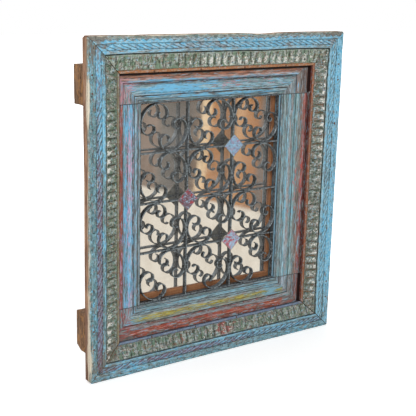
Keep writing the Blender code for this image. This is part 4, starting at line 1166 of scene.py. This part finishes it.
def carved_paint(name, rim, edge, margin, rope, ruddy_coat, line, petals, petals_second, inner,
                 inner_side, seam_coat, scuff, groove, seam_share, cut_share, red_share):
    """Old coats on a carved board, by distance in from its outer edge: the rim, a stained edge, the
    margin, the rope, a thin bright line, the petals and the inner fillet. The shares say how much
    shows of the seams between petals, of the cuts in the rope and of the red on the petals."""
    made, tree = new_material(name)
    lie = attribute(tree, "lie", "Vector")
    jitter = cloud(lie, (0.02, 0.01, 0.01), 5.0, 0.65) * 0.004 - 0.002
    across = parts_of(lie)[1] + jitter
    stain = moved(lie, (0.9, 0.5, 0.0))
    on_margin = ranged(across, 0.0515, 0.0505)
    on_rope = ranged(across, 0.0245, 0.0265) * ranged(across, 0.0415, 0.0395)
    on_petals = ranged(across, 0.0545, 0.0565) * ranged(across, 0.0985, 0.0955)
    coat = use(aged_coat, Vector=lie, Scuff=scuff, Strength=ranged(across, 0.0965, 0.0980, 1.0, 0.45),
               Color=bands(across, [
                   (-32, SIDE_WOOD), (-3, SIDE_WOOD), (-0.8, rim), (1.8, rim), (4, edge), (8, edge),
                   (11, margin), (21, margin), (22.6, (72, 88, 94)), (24.2, (86, 104, 110)), (26, rope),
                   (39.5, rope), (41.2, (78, 92, 96)), (42.8, margin), (48, margin), (49, line),
                   (50.6, line), (51.6, groove), (54.6, groove), (57, petals), (94, petals),
                   (97, (96, 86, 70)), (98.6, inner), (105, inner), (107, inner), (109, inner_side),
                   (126, inner_side)]))
    # margin and rope: dull soil, bright blue and, in the cuts of the rope, a ruddy coat
    soil = attribute(tree, "soil")
    dull = flaked(stain, 0.014, 0.008, soil, 0.07) * on_margin
    fresh = flaked(lie, 0.022, 0.0070, attribute(tree, "sky"), 0.07) * on_margin
    paler = ranged(cloud(stain, (0.010, 0.005, 0.005)), 0.40, 0.62)
    ruddy = flaked(lie, 0.012, 0.008, attribute(tree, "ruddy"), 0.07) * on_rope
    lumps = cloud(lie, (0.012, 0.008, 0.006)) * 1.8 - 0.9
    cut = ranged(attribute(tree, "cuts") + lumps, 0.22, 0.62)
    colour = coated(
        coat["Color"], (dull * 0.75, (118, 110, 100)),
        (fresh * 0.86, laid(paler, (100, 188, 228), (158, 212, 234))),
        (larger(cut * cut_share, ruddy * 0.40), laid(ruddy, (74, 88, 94), ruddy_coat)))
    # petals: coats lie in streaks down each petal, so these clouds are long across the board
    colour = streaks(colour, lie, on_petals, (
        ((0.0, 0.0, 0.0), (0.012, 0.026, 0.012), 0.47, 0.80, petals_second),
        ((0.4, 0.2, 0.0), (0.0095, 0.019, 0.012), 0.56, 0.70, (192, 200, 196)),
        ((0.7, 0.6, 0.0), (0.0095, 0.021, 0.012), 0.57, 0.50, (170, 146, 140)),
        ((1.1, 0.1, 0.0), (0.0075, 0.021, 0.012), 0.57, 0.75, (118, 88, 62)),
        ((1.6, 0.4, 0.0), (0.0070, 0.016, 0.012), 0.55, 0.80, (58, 68, 56))))[0]
    crest = attribute(tree, "crest")
    uneven = cloud(lie, (0.012, 0.015, 0.010), 4.0, 0.62) * 3.2 - 1.6
    red = flaked(stain, 0.010, 0.010, attribute(tree, "red") + red_share, 0.04)
    # white: flecks of white paint, set on the sides of the petals that face the light, so partly
    # painted highlights
    white = flaked(lie, 0.0062, 0.0075, attribute(tree, "flecks"), 0.03)
    for mask, share, over in (
            (ranged(soil, 0.22, 0.60), 0.55, (104, 92, 80)),
            (ranged(uneven - crest, 0.45, 1.15), 0.50, (70, 78, 62)),
            (ranged(crest + uneven, 0.75, 1.45), 0.46, (194, 200, 186)),
            (ranged(crest + uneven * 0.35, -0.84, -1.0), seam_share, seam_coat),
            (red, 0.70, (164, 74, 72)),
            (white * ranged(crest + uneven, -0.2, 0.5), 0.90, (238, 236, 228))):
        colour = laid(mask * share * on_petals, colour, over)
    # bare wood where the coats are gone, and down the outer side, darker towards the floor
    wood = use(old_wood, Vector=lie, Pale=(178, 146, 114), Dark=(96, 72, 54))["Color"]
    bared = flaked(stain, 0.030, 0.005, 0.19, 0.03)
    patches = ranged(cloud(stain, (0.09, 0.02, 0.02), 4.0, 0.6), 0.44, 0.58, 0.0, 0.75)
    low = ranged(parts_of(place_in(tree))[2], MIDDLE_Z - 0.24, MIDDLE_Z - 0.38, 0.0, 0.65)
    planed = coated(wood, (0.55, SIDE_WOOD), (patches, (112, 80, 64)), (low, (104, 74, 60)))
    cream = flaked(lie, 0.060, 0.006, attribute(tree, "cream"), 0.08)
    colour = coated(colour, (bared * 0.7, wood), (ranged(across, -0.0005, -0.0030), planed),
                    (cream * 0.85, (232, 218, 194)))
    worn = use(hand_wear, Color=colour, Relief=attribute(tree, "relief"), Vector=lie, Dirt=(50, 54, 46),
               Rubbed=(184, 194, 184), Dirt_share=0.70, Rub_share=0.30)
    colour = laid(attribute(tree, "mitre") * 0.9, worn["Color"], (44, 42, 40))
    height = coat["Height"] * 0.7 + (fresh - bared) * 0.3
    finish(tree, colour, (height, 0.0008), Roughness=ranged(fresh, 0.0, 1.0, 0.80, 0.60),
           Specular_IOR_Level=0.3)
    return made


SIDE_WOOD = (190, 146, 116)
DARK_SEAM = (46, 48, 40)
board_coats = {label: carved_paint(label + "_board_paint", *row) for label, row in {
    "top": (
        (168, 158, 140), (136, 146, 140), (150, 168, 176), (160, 172, 182), (112, 100, 102),
        (124, 176, 204), (158, 164, 152), (112, 140, 112), (172, 114, 72), (72, 44, 34), DARK_SEAM,
        (172, 196, 198), (54, 56, 50), 0.35, 0.50, 0.06),
    "bottom": (
        (112, 150, 160), (110, 154, 166), (120, 152, 162), (120, 156, 184), (128, 46, 72),
        (88, 170, 214), (140, 146, 142), (94, 122, 98), (106, 122, 148), (60, 54, 68), DARK_SEAM,
        (156, 182, 186), (66, 84, 92), 0.40, 0.70, 0.02),
    "left": (
        (146, 146, 134), (112, 142, 146), (106, 142, 150), (122, 148, 172), (116, 42, 60),
        (98, 134, 146), (140, 148, 136), (94, 120, 96), (134, 122, 98), (110, 66, 44), DARK_SEAM,
        (152, 176, 180), (76, 88, 82), 0.45, 0.66, 0.0),
    "right": (
        (134, 166, 178), (130, 168, 182), (134, 182, 204), (148, 196, 216), (92, 96, 102),
        (120, 178, 204), (132, 134, 126), (96, 110, 94), (152, 94, 64), (106, 52, 40), (150, 100, 70),
        (164, 200, 212), (54, 56, 50), 0.50, 0.44, 0.06)}.items()}
board_back = bare_wood("raw_board", (150, 120, 92), (78, 58, 42), 0.0)


def carved_board(label, across, up, half, beside, radii, shift, arris, dips, gaps, dark, seed, marks):
    """One mitred board. Sections across it are set out along its length, and fan out to the two
    mitres with boards of the widths beside. radii round the outer corners, shift moves the deep line
    in mid-length, arris rounds the outer edge, dips are hollows worn in it as (place, depth,
    spread), gaps is how far each mitre has opened at its outer and inner end, dark is how black
    it is, and marks says where each coat is left, and where the white flecks lie that are partly
    painted highlights."""
    own = BOARD_WIDTHS[label]
    w = np.linspace(-1, 1, int(2 * half / SECTION_STEP))[:, None]
    radius = np.where(w < 0, *radii)
    reach = half - (1 - math.sqrt(0.5)) * radius
    outer = w * reach
    corner = np.clip(radius - (half - np.abs(outer)), 0, None)
    edge = radius - np.sqrt(radius ** 2 - corner ** 2)
    for place, depth, spread in dips:
        edge = edge + depth * bell(outer - place, spread)
    shift = shift * (1 - w ** 6)

    def laid_out(inset):
        """The distance in and the distance along of the points drawn at an inset."""
        beyond = DRAWN_GROOVE + shift + (inset - DRAWN_GROOVE) * (
            DRAWN_WIDTH - DRAWN_GROOVE - shift) / (DRAWN_WIDTH - DRAWN_GROOVE)
        moved = np.where(inset <= DRAWN_GROOVE, inset * (1 + shift / DRAWN_GROOVE), beyond)
        pushed = edge + moved * own / DRAWN_WIDTH * (1 - edge / own)
        gap = np.where(w < 0, gaps[0][0], gaps[1][0])
        opened = gap + (np.where(w < 0, gaps[0][1], gaps[1][1]) - gap) * inset / DRAWN_WIDTH
        straight = half - FAN_LENGTH
        fan = (np.abs(outer) - straight) / (reach - straight)
        end = half - pushed * np.where(w < 0, *beside) / own - opened
        return pushed, np.where(np.abs(outer) <= straight, outer + 0 * pushed,
                                np.sign(w) * (straight + fan * (end - straight)))

    inset = np.broadcast_to(CARVED, (w.size, CARVED.size))
    pushed, along = laid_out(inset)
    deep, cuts, crest = carving(
        inset, along, seed, 1 if label == "right" else -1, 1.0 if label == "top" else 0.0,
        {"left": 0.9, "bottom": 0.5}.get(label, 0), 0.27 if label == "left" else 9,
        0.26 if label == "top" else 0.0)
    arris = arris * (1 + 0.45 * waves(outer, 0 * outer, 0.08, seed + 5))
    lost = np.clip(arris - inset, 0, None)
    deep = deep + arris - np.sqrt(arris ** 2 - lost ** 2)
    inner_round = np.clip(0.0012 - (DRAWN_WIDTH - inset), 0, None)
    deep = deep + inner_round * 0.8
    # inner side, back and outer side
    inner_share = np.array([0.04, 0.2, 0.4, 0.6, 0.8, 0.97])
    inner_deep = deep[:, -1:] + (BOARD_T - deep[:, -1:]) * inner_share
    inner_in, inner_along = laid_out(np.full(inner_deep.shape, DRAWN_WIDTH))
    inner_in = inner_in - bumps(0.0003, inner_along, inner_deep, 0.02, seed + 6)
    back_at = np.array([0.1052, 0.088, 0.070, 0.052, 0.034, 0.016, 0.0009])
    back_in, back_along = laid_out(np.broadcast_to(back_at, (w.size, 7)))
    back_deep = BOARD_T - bumps(0.0003, back_along, back_in, 0.03, seed + 7)
    outer_share = np.array([0.97, 0.84, 0.68, 0.52, 0.36, 0.22, 0.10, 0.03])
    outer_deep = deep[:, :1] + (BOARD_T - deep[:, :1]) * outer_share
    outer_in, outer_along = laid_out(np.zeros(outer_deep.shape))
    saw = bumps(0.00035, outer_along * 0.2, outer_deep, 0.006, seed + 8)
    outer_in = outer_in + saw * eased(outer_share, 0.0, 0.12) * eased(outer_share, 1.0, 0.9)
    into = np.concatenate([pushed, inner_in, back_in, outer_in], 1)
    run = np.concatenate([along, inner_along, back_along, outer_along], 1)
    y = BOARD_FACE + np.concatenate([deep, inner_deep, back_deep, outer_deep], 1)
    if up:
        x, z = run + SHIFT_X, up * (HALF_H - into) + SHIFT_Z
    else:
        x, z = across * (HALF_W - into) + SHIFT_X, run + SHIFT_Z
    side = deep[:, :1] - outer_deep
    spot = np.concatenate([inset, DRAWN_WIDTH + inner_deep - deep[:, -1:], back_in, side], 1)
    relief = np.zeros(y.shape)
    relief[:, :inset.shape[1]] = relief_of(-deep, 3, 0.0011)
    in_cut, on_crest, mitre = np.zeros((3, *y.shape))
    mitre[0], mitre[-1] = dark
    in_cut[:, :inset.shape[1]] = cuts
    on_crest[:, :inset.shape[1]] = crest
    slots = np.zeros(y.shape[1])
    slots[CARVED.size + 5:CARVED.size + 13] = 1
    part = {"loops": np.stack([x, y, z + MIDDLE_Z], -1),
            "lie": np.stack([run + seed * 0.031, spot, y - BOARD_FACE], -1), "relief": relief,
            "cuts": in_cut, "crest": on_crest, "mitre": mitre, "slots": slots, "cap": 1}
    for mark in ("sky", "ruddy", "flecks", "soil", "red", "cream"):
        part[mark] = sky_patches(run, spot, *marks.get(mark, (0.0, [])))
    if label == "top":
        part["sky"] = part["sky"] * eased(spot - scallop(run), -0.0008, 0.0012)
    add_piece("carved_board_" + label, [part], [board_coats[label], board_back],
              ["surround_" + label])


# the flecks marks put the white flecks, partly painted highlights, on the side of the petals that faces
# the light
carved_board(
    "top", 0, 1, HALF_W, (0.108, 0.108), (0.012, 0.008), -0.0026, 0.0022,
    [(0.139, 0.0036, 0.055), (-0.30, 0.0006, 0.03)], ((0.0003, 0.0013), (0.0003, 0.0005)),
    (0.8, 0.2), 601, {
        "sky": (0.34, [(-0.30, 0.024, 0.14, 0.022, 0.50), (0.06, 0.026, 0.12, 0.022, 0.40),
                       (0.30, 0.026, 0.14, 0.020, 0.40), (-0.14, 0.010, 0.06, 0.010, -0.35)]),
        "ruddy": (0.22, [(-0.03, 0.036, 0.07, 0.02, 0.30)]),
        "flecks": (0.16, [(0.02, 0.083, 0.16, 0.014, 0.46), (0.25, 0.082, 0.12, 0.016, 0.40)]),
        "soil": (0.20, [(-0.43, 0.016, 0.045, 0.030, 0.70), (0.43, 0.016, 0.05, 0.025, 0.70)]),
        "cream": (0.0, [(0.0, 0.001, 0.7, 0.003, 0.42)])})
carved_board(
    "bottom", 0, -1, HALF_W, (0.108, 0.108), (0.011, 0.0035), 0.0, 0.0012, [(-0.05, 0.0006, 0.10)],
    ((0.0004, 0.0014), (0.0006, 0.0016)), (0.7, 1.0), 621, {
        "sky": (0.20, [(-0.32, 0.024, 0.10, 0.02, 0.35), (0.12, 0.040, 0.20, 0.012, 0.30),
                       (0.33, 0.020, 0.10, 0.02, 0.20), (0.0, 0.050, 0.6, 0.002, 0.25)]),
        "ruddy": (0.42, [(-0.12, 0.036, 0.14, 0.02, 0.30), (0.25, 0.036, 0.15, 0.02, -0.30)]),
        "flecks": (0.14, [(0.02, 0.074, 0.06, 0.03, 0.18)]),
        "red": (0.05, [(0.03, 0.076, 0.04, 0.03, 0.55), (-0.15, 0.076, 0.03, 0.03, 0.25)]),
        "soil": (0.16, [(-0.42, 0.040, 0.035, 0.04, 0.60), (-0.39, 0.080, 0.03, 0.03, 0.45)])})
carved_board(
    "left", -1, 0, HALF_H, (0.100, 0.106), (0.011, 0.012), 0.0038, 0.0034,
    [(0.36, 0.0010, 0.04), (0.1, 0.0010, 0.10)], ((0.0004, 0.0014), (0.0003, 0.0013)),
    (0.7, 0.8), 641, {
        "sky": (0.12, [(0.24, 0.040, 0.13, 0.014, 0.62), (-0.28, 0.018, 0.10, 0.012, 0.26),
                       (-0.06, 0.036, 0.06, 0.012, 0.34), (0.42, 0.032, 0.07, 0.018, 0.40),
                       (-0.20, 0.050, 0.2, 0.003, 0.30), (0.0, 0.024, 0.6, 0.002, 0.25)]),
        "ruddy": (0.42, [(-0.22, 0.034, 0.26, 0.02, 0.55), (0.30, 0.036, 0.15, 0.02, -0.25)]),
        "flecks": (0.14, [(0.15, 0.062, 0.10, 0.008, 0.62), (-0.36, 0.063, 0.08, 0.010, 0.85),
                          (0.20, 0.075, 0.10, 0.03, 0.12)]),
        "red": (0.0, [(-0.05, 0.076, 0.03, 0.02, 0.2)]),
        "soil": (0.14, [(0.455, 0.020, 0.04, 0.03, 0.60), (-0.46, 0.040, 0.04, 0.04, 0.60),
                        (-0.42, 0.080, 0.04, 0.03, 0.50)]),
        "cream": (0.0, [(0.32, -0.001, 0.070, 0.008, 1.0), (-0.34, -0.003, 0.16, 0.005, 0.95),
                        (-0.43, -0.002, 0.055, 0.011, 0.8), (0.03, -0.001, 0.20, 0.004, 0.55)])})
carved_board(
    "right", 1, 0, HALF_H, (0.100, 0.106), (0.0035, 0.008), 0.0038, 0.0012, [(0.42, 0.0008, 0.05)],
    ((0.0006, 0.0016), (0.0003, 0.0005)), (1.0, 0.2), 661, {
        "sky": (0.48, [(0.40, 0.016, 0.12, 0.02, 0.25), (-0.20, 0.016, 0.18, 0.02, 0.25),
                       (0.05, 0.036, 0.10, 0.012, -0.20), (-0.42, 0.016, 0.06, 0.03, -0.20)]),
        "ruddy": (0.28, [(0.05, 0.036, 0.08, 0.02, 0.30)]),
        "flecks": (0.18, [(0.22, 0.062, 0.20, 0.010, 0.46), (-0.25, 0.064, 0.15, 0.014, 0.34)]),
        "soil": (0.14, [(-0.46, 0.030, 0.03, 0.03, 0.30)])})


# Nails. Hand-cut nails hold the boards to the horns, head and sill, and small brads the strips.
# Their heads have rusted; one stray nail stands in the margin of the right board.

rusty, tree = new_material("rusted_nail")
scale_of = cloud(place_in(tree), (0.0014, 0.0014, 0.0014), 5.0, 0.7)
finish(tree, laid(ranged(scale_of, 0.38, 0.62), (62, 44, 34), (128, 80, 50)), (scale_of, 0.0006),
       Metallic=0.2, Roughness=ranged(scale_of, 0.3, 0.7, 0.55, 0.9))

nails = []
for x in (-0.24, -0.08, 0.08, 0.24):
    for end, inward in ((-1, 0.097), (1, 0.103)):
        z = end * (HALF_H - inward) + SHIFT_Z
        nails.append(dome((x + SHIFT_X, BOARD_FACE + 0.0184, z + MIDDLE_Z), (0, -1, 0), 0.0028, 0.0011))
for side in (-1, 1):
    for z in (-0.398, -0.342, 0.345, 0.395):
        x = side * (HALF_W - 0.014) + SHIFT_X
        nails.append(dome((x, BOARD_FACE + 0.0012, z + MIDDLE_Z), (0, -1, 0), 0.0030, 0.0010))
nails.append(dome((0.4565, BOARD_FACE + 0.0013, 0.203 + MIDDLE_Z), (0, -1, 0), 0.0042, 0.0010, 5, 14))
add_piece("surround_nails", nails, [rusty])

brads = []
for x, z in ((-0.175, -0.282), (-0.092, -0.2835), (0.040, -0.2860), (0.166, -0.2850),
             (-0.19, 0.3005), (0.02, 0.3010), (0.20, 0.3000)):
    brads.append(dome((x, STRIP_FRONT + 0.0003, z + MIDDLE_Z), (0, -1, 0), 0.0015, 0.0005, 3, 8))
for side in (-1, 1):
    for z in (-0.23, 0.0, 0.24):
        at = (side * (STRIP_INNER + 0.005), STRIP_FRONT + 0.0003, z + MIDDLE_Z)
        brads.append(dome(at, (0, -1, 0), 0.0015, 0.0005, 3, 8))
        inner = GRILLE_W - BAR_HALF
        brads.append(dome((side * inner, GRILLE_PLANE, z * 1.05 + MIDDLE_Z + 0.012), (-side, 0, 0),
                          0.0026, 0.0011))
for end in (-1, 1):
    for x in (-0.17, 0.0, 0.165):
        brads.append(dome((x, GRILLE_PLANE, end * (GRILLE_H - BAR_HALF) + MIDDLE_Z), (0, 0, -end),
                          0.0026, 0.0011))
add_piece("small_nails", brads, [rusty])


# Stage: a pale floor under the object and a plain white surround. Only what mirrors and metal
# reflect has colour: the pale ground and brown timber of a workshop in front of the mirror.

WHITE = (255, 255, 255)
FLOOR_REACH = 14.0
floor_z = cad_low.z - 0.0005
floor_mesh = bpy.data.meshes.new("floor")
floor_mesh.from_pydata([(x * FLOOR_REACH, y * FLOOR_REACH, floor_z) for x, y in (
    (-1, -1), (1, -1), (1, 1), (-1, 1))], [], [(0, 1, 2, 3)])
floor = bpy.data.objects.new("floor", floor_mesh)
bpy.context.scene.collection.objects.link(floor)
floor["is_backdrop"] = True
floor.visible_glossy = False
floor_white, tree = new_material("floor_white")
floor_mesh.materials.append(floor_white)
far = node("VectorMath", {0: scaled(place_in(tree), (1.0, 1.0, 0.0))}, "Value", operation="LENGTH")
seen = node("LightPath", {}, "Is Camera Ray", tree)
finish(tree, (233.65, 233.65, 233.65), Roughness=0.9, Emission_Color=WHITE,
       Emission_Strength=seen * ranged(far, 0.45, 1.5, 0.44, 0.95))

world = bpy.data.worlds.new("studio")
bpy.context.scene.world = world
world.use_nodes = True
tree = world.node_tree
tree.nodes.clear()
x, y, z = parts_of(node("TexCoord", {}, "Generated", tree))
ahead = larger(y * -1.0, 0.05)
aside = x / ahead
rise = z / ahead
flat = node("CombineXYZ", {0: aside, 1: rise * 0.25})
drift = cloud(flat, [1 / 26] * 3, 3.0, 0.6)
blots = cloud(flat, [1 / 60] * 3, 4.0, 0.6)
# posts and boards of the workshop by their place from left to right, leaning a little
room = bands(aside + (drift * 0.014 - 0.007) + (rise + 0.28) * -0.09, (
    (560, (120, 112, 104)), (590, (150, 132, 118)), (606, (158, 136, 120)), (618, (128, 120, 110)),
    (640, (116, 110, 104)), (662, (122, 112, 102)), (676, (134, 112, 94)), (680, (244, 214, 174)),
    (692, (236, 200, 156)), (696, (196, 140, 92)), (716, (176, 128, 88)), (730, (150, 112, 82)),
    (736, (216, 172, 130)), (748, (206, 158, 114)), (756, (190, 138, 92)), (774, (178, 124, 80)),
    (784, (126, 114, 104)), (794, (132, 116, 104)), (800, (176, 112, 70)), (820, (150, 92, 62))))
room = laid(ranged(blots, 0.52, 0.70, 0.0, 0.45), room, (112, 88, 68))
ground = laid(ranged(blots, 0.40, 0.70), (242, 232, 216), (232, 220, 202))
room = laid(ranged(aside * 0.30 + (rise + 0.088), -0.003, 0.003), ground, room)
room = coated(room, (ranged(rise, 0.10, 0.30), (228, 228, 226)),
              (ranged(y, -0.15, 0.05), (226, 228, 230)))
rays = {socket.name: Value(socket) for socket in tree.nodes.new("ShaderNodeLightPath").outputs}
plain, mirrored, white = (
    node("Background", {"Color": colour, "Strength": strength}, 0, tree)
    for colour, strength in ((WHITE, 0.62), (room, 1.0), (WHITE, 1.0)))
lit = node("MixShader", {0: rays["Is Glossy Ray"], 1: plain, 2: mirrored})
shown = larger(rays["Is Camera Ray"], rays["Is Transmission Ray"])
backdrop = node("MixShader", {0: shown, 1: lit, 2: white})
connect(tree.nodes.new("ShaderNodeOutputWorld").inputs["Surface"], backdrop)


def lamp(name, location, target, size, power):
    """A square soft lamp turned to a point."""
    light = bpy.data.lights.new(name, "AREA")
    light.size = size
    light.energy = power
    made = bpy.data.objects.new(name, light)
    bpy.context.scene.collection.objects.link(made)
    made.location = location
    toward = Vector(target) - made.location
    made.rotation_euler = toward.to_track_quat("-Z", "Y").to_euler()


OBJECT_MIDDLE = (0, 0, -0.36)
lamp("key", (-2.3, -2.6, 1.7), OBJECT_MIDDLE, 1.6, 68)
lamp("rear", (1.8, 2.6, 1.2), OBJECT_MIDDLE, 2.0, 40)

EYE = (-1.588, -2.292, 0.29825)
YAW = math.radians(35.02)
PITCH = math.radians(14.2)
ROLL = math.radians(1.42)
view = bpy.data.cameras.new("view")
view.sensor_width = 36.0
view.lens = 79.38
camera = bpy.data.objects.new("view", view)
bpy.context.scene.collection.objects.link(camera)
camera.matrix_world = (
    Matrix.Translation(EYE) @ Matrix.Rotation(-YAW, 4, "Z")
    @ Matrix.Rotation(math.pi / 2 - PITCH, 4, "X") @ Matrix.Rotation(ROLL, 4, "Z"))
bpy.context.scene.camera = camera
bpy.context.scene.view_settings.view_transform = "Standard"

low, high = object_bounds()
